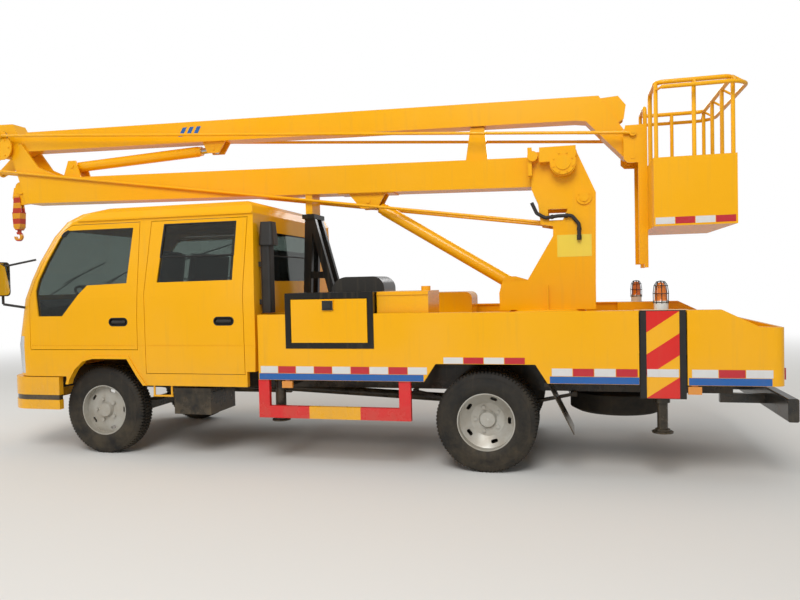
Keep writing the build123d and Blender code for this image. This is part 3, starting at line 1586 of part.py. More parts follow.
# Basket pivot: two cranks on the pin through the boom's end, which carry the mast's own pins below
mast_pin = (basket_pin[0], basket_pin[1] - pivot_drop)
with BuildPart() as basket_pivot:
    disc(basket_pin, basket_pin_radius, (2 - link_inner, link_inner - 2))
    for side, s in sides:
        y = both(upper_half + 1, link_inner - 1, s)
        disc(basket_pin, 40, y)
        disc(mast_pin, 40, y)
        block((back(basket_pin[0] - 40), back(basket_pin[0] + 40)), y, (mast_pin[1], basket_pin[1]))
        disc(mast_pin, basket_pin_radius, both(link_inner - 2, link_outer + 3, s))
save(basket_pivot, "basket_pivot")

# Basket mast: bracket plates round the boom's end and the post that carries the basket
mast_width = 60.0
with BuildPart() as basket_mast:
    for side, s in sides:
        y = both(link_inner, link_outer, s)
        plate(
            [
                (mast_pin[0] - 70, mast_pin[1] - 25), (mast_pin[0] - 40, mast_pin[1] - 55),
                (mast_front + 5, mast_pin[1] - 60),
                (mast_front + 5, mast_top), (basket_anchor[0] - 55, mast_top),
                (basket_anchor[0] - 70, 2600),
            ],
            y,
        )
        disc(
            mast_pin,
            basket_pin_radius + pin_gap,
            both(link_inner - 1, link_outer + 1, s),
            mode=Mode.SUBTRACT,
        )
        # Two posts down to the foot, and their top caps
        block(
            (back(mast_front), back(basket_front)),
            both(link_outer - mast_width, link_outer, s),
            (mast_bottom, mast_top),
        )
        block(
            (back(mast_front - 40), back(mast_front + 6)),
            both(link_inner, link_outer, s),
            (mast_bottom + 30, 2395),
        )
    block((back(mast_front), back(basket_front)), (-link_outer, link_outer), (2395, basket_pin[1] + 20))
    for z in (basket_floor + 20, 2180):
        block((back(mast_front), back(basket_front)), (-link_outer, link_outer), (z, z + 60))
save(basket_mast, "basket_mast")

# Basket: sheet panels round the lower half, a tube frame above and a hand rail standing outside
basket_rear = basket_front + basket_length
basket_x = (back(basket_front), back(basket_rear))
post_inset = tube_radius + 6


with BuildPart() as basket:
    block(basket_x, (-basket_half, basket_half), (basket_floor - 10, basket_floor + basket_panel))
    block(
        (basket_x[0] + basket_wall, basket_x[1] - basket_wall),
        (-basket_half + basket_wall, basket_half - basket_wall),
        (basket_floor, basket_floor + basket_panel + 10),
        mode=Mode.SUBTRACT,
    )
    inside = (basket_x[0] + post_inset, basket_x[1] - post_inset)
    half = basket_half - post_inset
    gap = link_outer + 14
    posts = [(x, y) for x in (inside[0], sum(inside) / 2, inside[1]) for y in (-half, half)]
    posts += [(inside[1], y) for y in (-half / 3, half / 3)]
    for x, y in posts:
        rod((x, y, basket_floor - 5), (x, y, basket_rail), tube_radius - 2)
    # Top rail: one bent tube, open at the front where the boom swings past between its two legs
    corners = (
        (inside[0], -gap),
        (inside[0], -half),
        (inside[1], -half),
        (inside[1], half),
        (inside[0], half),
        (inside[0], gap),
    )
    legs = [(inside[0], y, basket_floor - 5) for y in (-gap, gap)]
    top_rail = [legs[0], *[(x, y, basket_rail) for x, y in corners], legs[1]]
    tube_along(top_rail, 60, tube_radius)
    # Hand rail outside the frame, on short struts
    outside = (inside[0] + 30, inside[1] + hand_rail_out)
    rail_level = basket_rail - hand_rail_drop
    for x, y in posts:
        if abs(y) == half and x > inside[0]:
            reach_y = y + hand_rail_out * (1 if y > 0 else -1)
            rod((x, y, basket_rail), (x, reach_y, rail_level), 9)
        if x == inside[1]:
            rod((x, y, basket_rail), (outside[1], y, rail_level), 9)
    for s in (-1, 1):
        rod((inside[0], s * half, rail_level), (inside[0] + 30, s * (half + hand_rail_out), rail_level), 9)
    outer = half + hand_rail_out
    corners = ((outside[0], -outer), (outside[1], -outer), (outside[1], outer), (outside[0], outer))
    tube_along([(x, y, rail_level) for x, y in corners], 150, tube_radius - 2)
save(basket, "basket")
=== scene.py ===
import math

import bmesh
import bpy
from mathutils import Matrix, Vector
from mathutils.bvhtree import BVHTree


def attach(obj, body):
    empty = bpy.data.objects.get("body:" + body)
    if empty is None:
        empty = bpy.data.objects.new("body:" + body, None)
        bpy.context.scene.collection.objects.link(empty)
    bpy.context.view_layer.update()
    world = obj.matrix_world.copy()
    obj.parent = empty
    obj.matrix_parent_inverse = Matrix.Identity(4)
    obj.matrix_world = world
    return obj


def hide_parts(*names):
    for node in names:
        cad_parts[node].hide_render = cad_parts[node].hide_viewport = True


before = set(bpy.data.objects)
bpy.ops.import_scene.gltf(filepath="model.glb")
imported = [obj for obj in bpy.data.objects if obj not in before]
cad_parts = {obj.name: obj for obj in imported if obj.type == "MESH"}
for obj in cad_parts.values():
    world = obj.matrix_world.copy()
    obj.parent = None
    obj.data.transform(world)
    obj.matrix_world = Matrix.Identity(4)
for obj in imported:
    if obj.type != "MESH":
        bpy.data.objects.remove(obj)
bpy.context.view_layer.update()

# Camera at the photograph's place: standing on the left of the truck, level with the deck's top,
# looking a little towards the front. Its place and turn come from the truck's known sizes.
camera_place = Vector((2.2618, -5.9511, 1.4427))
camera_turn = math.radians(-13.9894)
camera_tilt = math.radians(-1.4744)
camera_roll = math.radians(-1.2907)
focal_share = 677.16 / 800.0

ahead = Vector((
    math.sin(camera_turn) * math.cos(camera_tilt),
    math.cos(camera_turn) * math.cos(camera_tilt),
    math.sin(camera_tilt),
))
level_right = Vector((math.cos(camera_turn), -math.sin(camera_turn), 0.0))
level_up = level_right.cross(ahead)
right = level_right * math.cos(camera_roll) + level_up * math.sin(camera_roll)
up = level_up * math.cos(camera_roll) - level_right * math.sin(camera_roll)
lens = bpy.data.cameras.new("camera")
lens.sensor_width = 36.0
lens.lens = focal_share * lens.sensor_width
camera = bpy.data.objects.new("camera", lens)
bpy.context.collection.objects.link(camera)
camera.matrix_world = Matrix.Translation(camera_place) @ Matrix((right, up, -ahead)).transposed().to_4x4()
bpy.context.scene.camera = camera


# Studio: a pale matt floor that fades into a white background, a wide soft lamp over the camera
# side, weaker ones before and behind the truck, and an even white sky. The floor keeps the
# truck's shadow.
def linear(colour):
    """Linear RGBA of an sRGB hex colour."""
    parts = [int(colour[k : k + 2], 16) / 255.0 for k in (1, 3, 5)]
    return [*(c / 12.92 if c <= 0.04045 else ((c + 0.055) / 1.055) ** 2.4 for c in parts), 1.0]


def add(tree, kind, values=None, **settings):
    """Add a shader node with its settings, and set or link its inputs."""
    node = tree.nodes.new("ShaderNode" + kind)
    for name, value in settings.items():
        setattr(node, name, value)
    for socket, value in (values or {}).items():
        if isinstance(value, bpy.types.NodeSocket):
            tree.links.new(value, node.inputs[socket])
        else:
            node.inputs[socket].default_value = value
    return node


def white_rays(tree):
    """One for rays that should see the white background: straight from the camera, or through a glass."""
    path = add(tree, "LightPath").outputs
    seen = {0: path["Is Camera Ray"], 1: path["Is Transmission Ray"]}
    return add(tree, "Math", seen, operation="MAXIMUM").outputs[0]


floor_reach = 60.0
floor_fade = (6.0, 15.0)
sky_level = 0.50
lamp_table = (
    # name, place, size, watts
    ("key_lamp", (1.5, -9.0, 9.0), 6.0, 820.0),
    ("front_lamp", (-9.0, -2.0, 6.0), 5.0, 220.0),
    ("back_lamp", (2.0, 9.0, 7.0), 6.0, 280.0),
)

floor_paint = bpy.data.materials.new("floor_paint")
floor_paint.use_nodes = True
tree = floor_paint.node_tree
shader = tree.nodes["Principled BSDF"]
shader.inputs["Base Color"].default_value = linear("#D9D8D4")
shader.inputs["Roughness"].default_value = 0.9
spot = add(tree, "NewGeometry").outputs["Position"]
far = add(tree, "VectorMath", {0: spot}, operation="LENGTH").outputs["Value"]
fade = add(
    tree,
    "MapRange",
    {"Value": far, "From Min": floor_fade[0], "From Max": floor_fade[1]},
    interpolation_type="SMOOTHSTEP",
)
seen = add(tree, "Math", {0: fade.outputs["Result"], 1: white_rays(tree)}, operation="MULTIPLY").outputs[0]
glow = add(tree, "Emission", {"Color": (1.0, 1.0, 1.0, 1.0), "Strength": 1.0})
mix = add(tree, "MixShader", {0: seen, 1: shader.outputs[0], 2: glow.outputs[0]})
tree.links.new(mix.outputs[0], tree.nodes["Material Output"].inputs["Surface"])

shape = bmesh.new()
bmesh.ops.create_circle(shape, cap_ends=True, segments=96, radius=floor_reach)
floor_mesh = bpy.data.meshes.new("floor")
shape.to_mesh(floor_mesh)
shape.free()
floor_mesh.materials.append(floor_paint)
floor = bpy.data.objects.new("floor", floor_mesh)
bpy.context.collection.objects.link(floor)

for name, place, size, watts in lamp_table:
    lamp = bpy.data.lights.new(name, "AREA")
    lamp.shape = "DISK"
    lamp.size = size
    lamp.energy = watts
    stand = bpy.data.objects.new(name, lamp)
    bpy.context.collection.objects.link(stand)
    stand.location = place
    stand.rotation_euler = (Vector((0.0, 0.0, 1.0)) - Vector(place)).to_track_quat("-Z", "Y").to_euler()

sky = bpy.data.worlds.new("sky")
bpy.context.scene.world = sky
sky.use_nodes = True
tree = sky.node_tree
light = tree.nodes["Background"]
light.inputs["Strength"].default_value = sky_level
light.inputs["Color"].default_value = (1.0, 1.0, 1.0, 1.0)
white = add(tree, "Background", {"Color": (1.0, 1.0, 1.0, 1.0), "Strength": 1.0})
mix = add(tree, "MixShader", {0: white_rays(tree), 1: light.outputs[0], 2: white.outputs[0]})
tree.links.new(mix.outputs[0], tree.nodes["World Output"].inputs["Surface"])
bpy.context.scene.view_settings.view_transform = "Standard"


# Cab, deck, booms and basket: pressed and welded steel under sprayed gloss enamel. The spray
# leaves a fine orange peel, the sun pale patches, the rain streaks, and the road dust low down.
truck_x = -1.714
yellow_colour = "#F2AE02"
dust_colour = "#8C7A5E"
sides = (("left", -1), ("right", 1))


def begin(name, values):
    """Begin a finish: a material with its shader's own sockets set. Gives material, tree and shader."""
    made = bpy.data.materials.new(name)
    made.use_nodes = True
    main = made.node_tree.nodes["Principled BSDF"]
    for socket, value in values.items():
        main.inputs[socket].default_value = value
    return made, made.node_tree, main


def blend(tree, share, first, second):
    """Colour between two colours, by a share from 0 to 1."""
    return add(tree, "Mix", {0: share, 6: first, 7: second}, data_type="RGBA").outputs[2]


def object_place(tree):
    """Place on the piece, in metres in the truck's frame."""
    return add(tree, "TexCoord").outputs["Object"]


def roughen(tree, main, value, low, high, start=0.0):
    """Give a shader its roughness between low and high, by a value from start to 1."""
    span = add(tree, "MapRange", {"Value": value, "From Min": start, "To Min": low, "To Max": high})
    tree.links.new(span.outputs[0], main.inputs["Roughness"])


def within(tree, value, low, high):
    """One where a value lies between low and high."""
    middle, half = (low + high) / 2, (high - low) / 2
    return add(tree, "Math", {0: value, 1: middle, 2: half}, operation="COMPARE").outputs[0]


def bands(tree, value, pitch, lead=0.0):
    """Zero and one by turns along a value, each half a pitch wide."""
    turns = add(tree, "Math", {0: value, 1: 1.0 / pitch, 2: lead}, operation="MULTIPLY_ADD").outputs[0]
    saw = add(tree, "Math", {0: turns}, operation="FRACT").outputs[0]
    return add(tree, "Math", {0: saw, 1: 0.5}, operation="GREATER_THAN").outputs[0]


def coated(name, smooth=0.1):
    """Begin a thinly coated paint."""
    return begin(name, {"IOR": 1.5, "Coat Weight": 0.12, "Coat Roughness": smooth})


def dusty(tree, main, clean, dust_top, thick=0.75, low=0.25, gloss=(0.22, 0.62)):
    """Give a shader its clean colour with patches, rain streaks and road dust that thins out upwards."""
    place = object_place(tree)
    height = add(tree, "SeparateXYZ", {0: place}).outputs["Z"]
    patches = add(tree, "TexNoise", {"Vector": place, "Scale": 1.4, "Detail": 4.0}).outputs["Fac"]
    pale = add(tree, "MapRange", {"Value": patches, "From Min": 0.45, "From Max": 0.75, "To Max": 0.16})
    faded = add(tree, "HueSaturation", {"Color": clean, "Saturation": 0.9, "Value": 1.04}).outputs[0]
    colour = blend(tree, pale.outputs[0], clean, faded)
    long = add(tree, "Mapping", {"Vector": place, "Scale": (26.0, 26.0, 1.6)}).outputs[0]
    streaks = add(tree, "TexNoise", {"Vector": long, "Scale": 1.0, "Detail": 3.0}).outputs["Fac"]
    runs = add(tree, "MapRange", {"Value": streaks, "From Min": 0.56, "From Max": 0.8, "To Max": 0.3 * thick})
    colour = blend(tree, runs.outputs[0], colour, linear(dust_colour))
    fall = {"Value": height, "From Min": low, "From Max": dust_top, "To Min": thick, "To Max": 0.0}
    near = add(tree, "MapRange", fall)
    clouds = {"Vector": place, "Scale": 7.0, "Detail": 6.0, "Roughness": 0.65}
    cloud = add(tree, "TexNoise", clouds).outputs["Fac"]
    spread = add(tree, "MapRange", {"Value": cloud, "From Min": 0.32, "From Max": 0.62}).outputs[0]
    share = add(tree, "Math", {0: near.outputs[0], 1: spread}, operation="MULTIPLY").outputs[0]
    colour = blend(tree, share, colour, linear(dust_colour))
    tree.links.new(colour, main.inputs["Base Color"])
    roughen(tree, main, share, *gloss)
    return place


def relief(tree, main, height, depth, strength=1.0):
    """Raise the surface by a height from 0 to 1, depth metres at most."""
    bump = add(tree, "Bump", {"Height": height, "Distance": depth, "Strength": strength})
    tree.links.new(bump.outputs[0], main.inputs["Normal"])


def enamel(name, colour, dust_top=1.1, thick=0.75, coat=0.4):
    """Sprayed enamel over steel in one colour."""
    made, tree, main = begin(
        name, {"IOR": 1.5, "Specular IOR Level": 0.3, "Coat Weight": coat, "Coat Roughness": 0.06}
    )
    base = add(tree, "RGB").outputs[0]
    base.default_value = linear(colour)
    place = dusty(tree, main, base, dust_top, thick)
    # Orange peel of 3 mm cells, drawn at twice its real width so that it shows
    peel = add(tree, "TexNoise", {"Vector": place, "Scale": 160.0, "Detail": 1.0}).outputs["Fac"]
    relief(tree, main, peel, 0.0003, 0.25)
    return made


def dress(finish, *nodes):
    """Put a finish on CAD nodes."""
    for node in nodes:
        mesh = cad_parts[node].data
        if mesh.materials:
            mesh.materials[0] = finish
        else:
            mesh.materials.append(finish)


yellow_enamel = enamel("yellow_enamel", yellow_colour, 0.9, 0.3, 0.12)
dress(yellow_enamel, "cab_shell", "deck_body", "toolbox_door", "turret", "lower_boom", "basket_pivot")
dress(yellow_enamel, "upper_boom", "level_link", "lower_rods", "upper_rods", "basket", "basket_mast")
dress(yellow_enamel, "lift_cylinder_barrel", "fold_cylinder_barrel")
for side, s in sides:
    dress(yellow_enamel, f"door_front_{side}", f"door_rear_{side}")


# Chassis, axles, jacks, boom rest and toolbox frame: steel brushed with black chassis paint,
# satin where it is new and brown with road dust below.
chassis_paint = enamel("chassis_paint", "#1D1C1A", dust_top=0.8, thick=0.45, coat=0.1)
dress(chassis_paint, "chassis_frame", "front_axle", "rear_axle", "tanks", "boom_rest", "toolbox")
for side, s in sides:
    dress(chassis_paint, f"knuckle_{side}", f"jack_{side}", f"outrigger_leg_{side}", f"outrigger_beam_{side}")


# Engine and gearbox: cast iron, dull grey from the mould and dark with oil and dust.
cast_iron, tree, shader = begin("cast_iron", {"Metallic": 0.7})
grey = add(tree, "RGB").outputs[0]
grey.default_value = linear("#4A4845")
place = dusty(tree, shader, grey, 0.95, 0.9, 0.3, (0.5, 0.8))
grains = add(tree, "TexVoronoi", {"Vector": place, "Scale": 260.0}).outputs["Distance"]
relief(tree, shader, grains, 0.0006)
dress(cast_iron, "engine")


# Piston rods: hard chrome, ground bright, with fine marks along the stroke. The pins beside
# them are turned steel with a dull zinc plating.
hard_chrome, tree, shader = begin("hard_chrome", {"Metallic": 1.0, "Base Color": linear("#C9CBCC")})
place = object_place(tree)
marks = add(tree, "TexNoise", {"Vector": place, "Scale": 90.0, "Detail": 5.0}).outputs["Fac"]
roughen(tree, shader, marks, 0.06, 0.28)
dress(hard_chrome, "lift_cylinder_rod", "fold_cylinder_rod")

zinc_plate, tree, shader = begin("zinc_plate", {"Metallic": 1.0})
place = object_place(tree)
spangle = add(tree, "TexVoronoi", {"Vector": place, "Scale": 120.0}).outputs["Color"]
colour = blend(tree, spangle, linear("#8F9190"), linear("#B7B8B4"))
tree.links.new(colour, shader.inputs["Base Color"])
roughen(tree, shader, spangle, 0.3, 0.5)
dress(zinc_plate, "rod_pins")


# Side guards and hook: steel tube and plate in red, the guard's rail yellow over its middle and
# the rear underrun beam black. The hook has red and yellow bands.
guard_yellow_x = (1.976, 2.397)
underrun_from = 4.6
underrun_to = 6.6

guard_paint, tree, shader = coated("guard_paint")
across = add(tree, "SeparateXYZ", {0: object_place(tree)}).outputs["X"]
middle = within(tree, across, truck_x + guard_yellow_x[0], truck_x + guard_yellow_x[1])
tail = within(tree, across, truck_x + underrun_from, truck_x + underrun_to)
colour = blend(tree, middle, linear("#D8101A"), linear(yellow_colour))
colour = blend(tree, tail, colour, linear("#1D1C1A"))
dusty(tree, shader, colour, 0.75, 0.3)
dress(guard_paint, "guards")

hook_band = 0.110
hook_paint, tree, shader = coated("hook_paint")
height = add(tree, "SeparateXYZ", {0: object_place(tree)}).outputs["Z"]
red = bands(tree, height, hook_band)
dusty(tree, shader, blend(tree, red, linear("#D9940F"), linear("#B5351A")), 1.0, 0.3)
dress(hook_paint, "hook_block")

# Bumper: the cab's yellow with a dark strip along its middle.
bumper_strip = (0.478, 0.522)
bumper_paint, tree, shader = coated("bumper_paint", 0.06)
height = add(tree, "SeparateXYZ", {0: object_place(tree)}).outputs["Z"]
strip_share = within(tree, height, *bumper_strip)
dusty(tree, shader, blend(tree, strip_share, linear(yellow_colour), linear("#3A3224")), 0.9, 0.3)
dress(bumper_paint, "bumper")

# Deck boxes: yellow sheet boxes, and a rounded black cover between the toolbox and the boom rest.
cover_x = (2.020, 2.500)
cover_side = 0.2
box_paint, tree, shader = coated("box_paint")
parts = add(tree, "SeparateXYZ", {0: object_place(tree)}).outputs
along = within(tree, parts["X"], truck_x + cover_x[0], truck_x + cover_x[1])
left_side = add(tree, "Math", {0: parts["Y"], 1: cover_side}, operation="LESS_THAN").outputs[0]
cover = add(tree, "Math", {0: along, 1: left_side}, operation="MULTIPLY").outputs[0]
dusty(tree, shader, blend(tree, cover, linear(yellow_colour), linear("#2B2823")), 0.9, 0.3)
dress(box_paint, "deck_boxes")


# Rims: pressed steel under silver wheel paint, brown with brake dust round the vents.
wheel_paint, tree, shader = begin("wheel_paint", {"Metallic": 0.35, "Coat Weight": 0.1})
silver = add(tree, "RGB").outputs[0]
silver.default_value = linear("#B9B7AF")
place = dusty(tree, shader, silver, 1.1, 0.5, 0.0, (0.35, 0.7))
flakes = add(tree, "TexNoise", {"Vector": place, "Scale": 300.0}).outputs["Fac"]
relief(tree, shader, flakes, 0.0002)
for side, s in sides:
    dress(wheel_paint, f"rim_front_{side}", f"rims_rear_{side}")


# Tyres: black rubber moulded over cords, with a ribbed side wall and a road tread of three
# grooves and cross cuts. Each is one turned mesh that stands where its solid stands.
tyre_radius = 0.382
bead_radius = 0.2183
tyre_half = 0.0975
groove_depth = 0.011
tread_blocks = 84
# Distances from the tread's middle: its ribbed middle, where the blocks end, where the wall starts
crown_half = 0.030
block_end = 0.0696
wall_start = 0.0855
tyre_places = (
    # node, body, distance from the axle's middle, axle's distance behind the front axle
    ("tyre_front_{}", "wheel_front_{}", (0.752,), 0.0),
    ("tyres_rear_{}", "wheels_rear_{}", (0.5975, 0.8275), 3.36),
)

tyre_rubber, tree, shader = begin("tyre_rubber", {"IOR": 1.52, "Specular IOR Level": 0.35})
black = add(tree, "RGB").outputs[0]
black.default_value = linear("#1B1A18")
place = dusty(tree, shader, black, 0.85, 0.24, -0.1, (0.7, 0.95))
skin = add(tree, "TexNoise", {"Vector": place, "Scale": 220.0, "Detail": 3.0}).outputs["Fac"]
relief(tree, shader, skin, 0.0005)


def shape_piece(name, shape, finish, body, crease=35.0):
    """Make a piece of a shape drawn in place, give it its finish and let it ride on a body."""
    bmesh.ops.recalc_face_normals(shape, faces=shape.faces)
    mesh = bpy.data.meshes.new(name)
    shape.to_mesh(mesh)
    shape.free()
    mesh.shade_smooth()
    mesh.set_sharp_from_angle(angle=math.radians(crease))
    mesh.materials.append(finish)
    made = bpy.data.objects.new(name, mesh)
    bpy.context.collection.objects.link(made)
    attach(made, body)
    return made


def tyre_profile():
    """Half section of the tyre from the tread's middle to the bead: offset, radius, in a groove or not."""
    grooves = ((0.0, 1), (0.006, 1), (0.0061, 0), (crown_half, 0), (0.0301, 1), (0.038, 1), (0.0381, 0))
    points = [(y, tyre_radius, groove) for y, groove in grooves]
    points += [(0.066, tyre_radius, 0), (0.0695, tyre_radius - 0.004, 0), (0.0775, tyre_radius - 0.017, 0)]
    for k in range(9):
        turn = k / 8.0
        y = wall_start + (tyre_half - wall_start) * math.sin(turn * math.pi * 0.62)
        points.append((min(y, tyre_half), tyre_radius - 0.034 - turn * 0.098, 0))
        if k in (1, 5):
            points.append((min(y + 0.0025, tyre_half), tyre_radius - 0.036 - turn * 0.098, 0))
    points += [(0.0925, bead_radius + 0.018, 0), (0.0835, bead_radius, 0)]
    return points


def turn_tyre(shape, centre):
    """Turn one tyre about its axle into the shape."""
    half = tyre_profile()
    section = [(-y, r, g) for y, r, g in reversed(half[1:])] + half
    steps = tread_blocks * 4
    rings = []
    for k in range(steps):
        angle = 2 * math.pi * k / steps
        ring = []
        for y, r, groove in section:
            shoulder_cut = k % 4 == 3 and crown_half < abs(y) < block_end
            crown_cut = k % 4 == 1 and abs(y) <= crown_half
            radius = r - groove_depth if groove or shoulder_cut or crown_cut else r
            ring.append(shape.verts.new((
                centre[0] + radius * math.sin(angle), centre[1] + y, centre[2] + radius * math.cos(angle)
            )))
        rings.append(ring)
    for first, second in zip(rings, rings[1:] + rings[:1]):
        for k in range(len(section) - 1):
            shape.faces.new((first[k], first[k + 1], second[k + 1], second[k]))
    # Inner liner between the beads, so that the tyre is closed
    for first, second in zip(rings, rings[1:] + rings[:1]):
        shape.faces.new((first[-1], first[0], second[0], second[-1]))


for node, body, offsets, behind in tyre_places:
    for side, s in sides:
        shape = bmesh.new()
        for offset in offsets:
            turn_tyre(shape, (truck_x + behind, s * offset, tyre_radius))
        made = shape_piece(node.format(side) + "_tread", shape, tyre_rubber, body.format(side), 28.0)
        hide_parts(node.format(side))
dress(tyre_rubber, "tyre_front_left", "tyre_front_right", "tyres_rear_left", "tyres_rear_right")
dress(tyre_rubber, "spare_wheel")


# Windows: toughened glass with a light grey tint, set in black rubber seals. The seals are
# moulded strips that lie round each pane, in the gap between pane and panel.
tinted_glass, tree, shader = begin(
    "tinted_glass",
    {"Base Color": linear("#8E9893"), "Transmission Weight": 1.0, "Roughness": 0.02, "IOR": 1.5},
)
place = object_place(tree)
film = add(tree, "TexNoise", {"Vector": place, "Scale": 9.0, "Detail": 5.0}).outputs["Fac"]
film_span = {"Value": film, "From Min": 0.4, "From Max": 0.8, "To Min": 0.015, "To Max": 0.12}
tree.links.new(add(tree, "MapRange", film_span).outputs[0], shader.inputs["Roughness"])
dress(tinted_glass, "cab_glass")
for side, s in sides:
    dress(tinted_glass, f"glass_front_{side}", f"glass_rear_{side}")

seal_rubber, tree, shader = begin("seal_rubber", {"IOR": 1.5, "Specular IOR Level": 0.4})
place = object_place(tree)
bloom = add(tree, "TexNoise", {"Vector": place, "Scale": 30.0, "Detail": 4.0}).outputs["Fac"]
tree.links.new(blend(tree, bloom, linear("#121212"), linear("#2C2B29")), shader.inputs["Base Color"])
roughen(tree, shader, bloom, 0.55, 0.8)

seal_width = 0.011


def tube_piece(name, points, radius, finish, body, closed=False):
    """A round strip along points, as a curve piece."""
    line = bpy.data.curves.new(name, "CURVE")
    line.dimensions = "3D"
    line.bevel_depth = radius
    line.bevel_resolution = 3
    line.use_fill_caps = True
    run = line.splines.new("POLY")
    run.points.add(len(points) - 1)
    for point, place in zip(run.points, points):
        point.co = (*place, 1.0)
    run.use_cyclic_u = closed
    line.materials.append(finish)
    made = bpy.data.objects.new(name, line)
    bpy.context.collection.objects.link(made)
    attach(made, body)
    return made


def pane_edge(node, outside, lift):
    """Corner points round a pane's outer face, lifted outwards, seen along the way outside looks."""
    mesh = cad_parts[node].data
    faces = [f for f in mesh.polygons if f.normal.dot(outside) > 0.5]
    count = {}
    for face in faces:
        for key in face.edge_keys:
            count[key] = count.get(key, 0) + 1
    rim = [key for key, times in count.items() if times == 1]
    place = {}
    for a, b in rim:
        for v in (a, b):
            place[v] = mesh.vertices[v].co.copy()
    # Join the rim's edges end to end, by place, because the faces don't share points
    spots = {}
    for a, b in rim:
        ka = tuple(round(c, 4) for c in place[a])
        kb = tuple(round(c, 4) for c in place[b])
        if ka == kb:
            continue
        spots.setdefault(ka, set()).add(kb)
        spots.setdefault(kb, set()).add(ka)
    start = next(iter(spots))
    loop, before, here = [start], None, start
    while True:
        onward = [k for k in spots[here] if k != before]
        if not onward or onward[0] == start or len(loop) > 400:
            break
        before, here = here, onward[0]
        if here in loop:
            break
        loop.append(here)
    return [Vector(k) + outside * lift for k in loop]


seal_table = [("cab_glass", "truck", Vector((-1.0, 0.0, 0.0)))]
for side, s in sides:
    for row in ("front", "rear"):
        seal_table.append((f"glass_{row}_{side}", f"door_{row}_{side}", Vector((0.0, s, 0.0))))
for node, body, outside in seal_table:
    edge = pane_edge(node, outside, 0.002)
    made = tube_piece(f"{node}_seal", edge, seal_width, seal_rubber, body, closed=True)


# Door grips: black moulded plastic cups in the doors' recesses, each with its pull lever.
grip_places = {"front": 0.240, "rear": 1.233}
grip_z = 1.160
grip_size = (0.176, 0.064)
grip_steps = (
    # growth of the slot, depth from the door's face
    (0.010, -0.0008), (0.009, -0.0016), (-0.002, -0.0016), (-0.005, 0.004), (-0.007, 0.0225),
)
lever_size = (grip_size[0] - 0.040, 0.026)
lever_steps = (
    # shrinkage of the slot, depth from the door's face
    (0.0, 0.020), (0.0, 0.003), (0.003, 0.0005), (0.008, -0.0008),
)
cab_half = 0.930

moulded_black, tree, shader = begin("moulded_black", {"IOR": 1.46})
place = object_place(tree)
grain = add(tree, "TexVoronoi", {"Vector": place, "Scale": 700.0}).outputs["Distance"]
wear = add(tree, "TexNoise", {"Vector": place, "Scale": 6.0, "Detail": 5.0}).outputs["Fac"]
tree.links.new(blend(tree, wear, linear("#151516"), linear("#34322F")), shader.inputs["Base Color"])
roughen(tree, shader, wear, 0.4, 0.65)
relief(tree, shader, grain, 0.0003)
dress(moulded_black, "mirrors", "snorkel", "dashboard")


def slot_loop(shape, centre, size, y, steps=10):
    """Points of an upright slot with round ends, across the truck at y."""
    radius = size[1] / 2
    points = []
    for end, turn in ((1, -90), (-1, 90)):
        for k in range(steps + 1):
            angle = math.radians(turn + 180.0 * k / steps)
            x = centre[0] + end * (size[0] / 2 - radius) + radius * math.cos(angle)
            points.append(shape.verts.new((x, y, centre[1] + radius * math.sin(angle))))
    return points


def stack(shape, loops):
    """Skin a run of loops with the same number of points, and close the last one."""
    for first, second in zip(loops, loops[1:]):
        for k in range(len(first)):
            n = (k + 1) % len(first)
            shape.faces.new((first[k], first[n], second[n], second[k]))
    shape.faces.new(loops[-1])


for side, s in sides:
    for row, x in grip_places.items():
        shape = bmesh.new()
        centre = (truck_x + x, grip_z)
        loops = [
            slot_loop(shape, centre, (grip_size[0] + grow, grip_size[1] + grow), s * (cab_half - depth))
            for grow, depth in grip_steps
        ]
        stack(shape, loops)
        lever = [
            slot_loop(shape, centre, (lever_size[0] - less, lever_size[1] - less), s * (cab_half - depth))
            for less, depth in lever_steps
        ]
        stack(shape, lever)
        made = shape_piece(f"grip_{row}_{side}", shape, moulded_black, f"door_{row}_{side}")


# Reflecting tape: soft sheet with a honeycomb of cells under a clear skin, cut in 150 mm lengths
# of red and white and stuck along the deck, over the wheel arches and round the basket.
tape_length = 0.150
tape_gap = 0.004
tape_lift = 0.0006
deck_half = 0.973
deck_tape = (
    # first x, last x, low z, high z
    (1.574, 2.936, 0.745, 0.800),
    (3.060, 3.664, 0.829, 0.876),
    (3.850, 4.440, 0.745, 0.800),
    (4.790, 5.300, 0.745, 0.800),
)
plate_tape_x = (4.500, 4.711)
plate_tape_z = (0.745, 0.800)


def tape_finish(name, colour):
    """Reflecting tape in one colour."""
    skin = {"IOR": 1.5, "Specular IOR Level": 0.3, "Coat Weight": 0.2, "Coat Roughness": 0.12}
    made, tree, main = begin(name, skin)
    tint = add(tree, "RGB").outputs[0]
    tint.default_value = linear(colour)
    place = dusty(tree, main, tint, 0.9, 0.18)
    cells = add(tree, "TexVoronoi", {"Vector": place, "Scale": 260.0}, feature="DISTANCE_TO_EDGE")
    net = add(tree, "MapRange", {"Value": cells.outputs["Distance"], "From Max": 0.12}).outputs[0]
    relief(tree, main, net, 0.0003)
    return made


tape_red = tape_finish("tape_red", "#BE2A33")
tape_white = tape_finish("tape_white", "#D9D8D6")
tape_blue = tape_finish("sheet_blue", "#1F5FA8")


def strip(shape, low, high, lift):
    """A thin sheet piece between two corners, its edges softened by lift."""
    low, high = Vector(low), Vector(high)
    size = Matrix.Diagonal((*(abs(h - l) for l, h in zip(low, high)), 1.0))
    place = Matrix.Translation((low + high) / 2) @ size
    made = bmesh.ops.create_cube(shape, size=1.0, matrix=place)
    edges = {e for v in made["verts"] for e in v.link_edges}
    bmesh.ops.bevel(shape, geom=list(edges), offset=lift, segments=2, affect="EDGES")


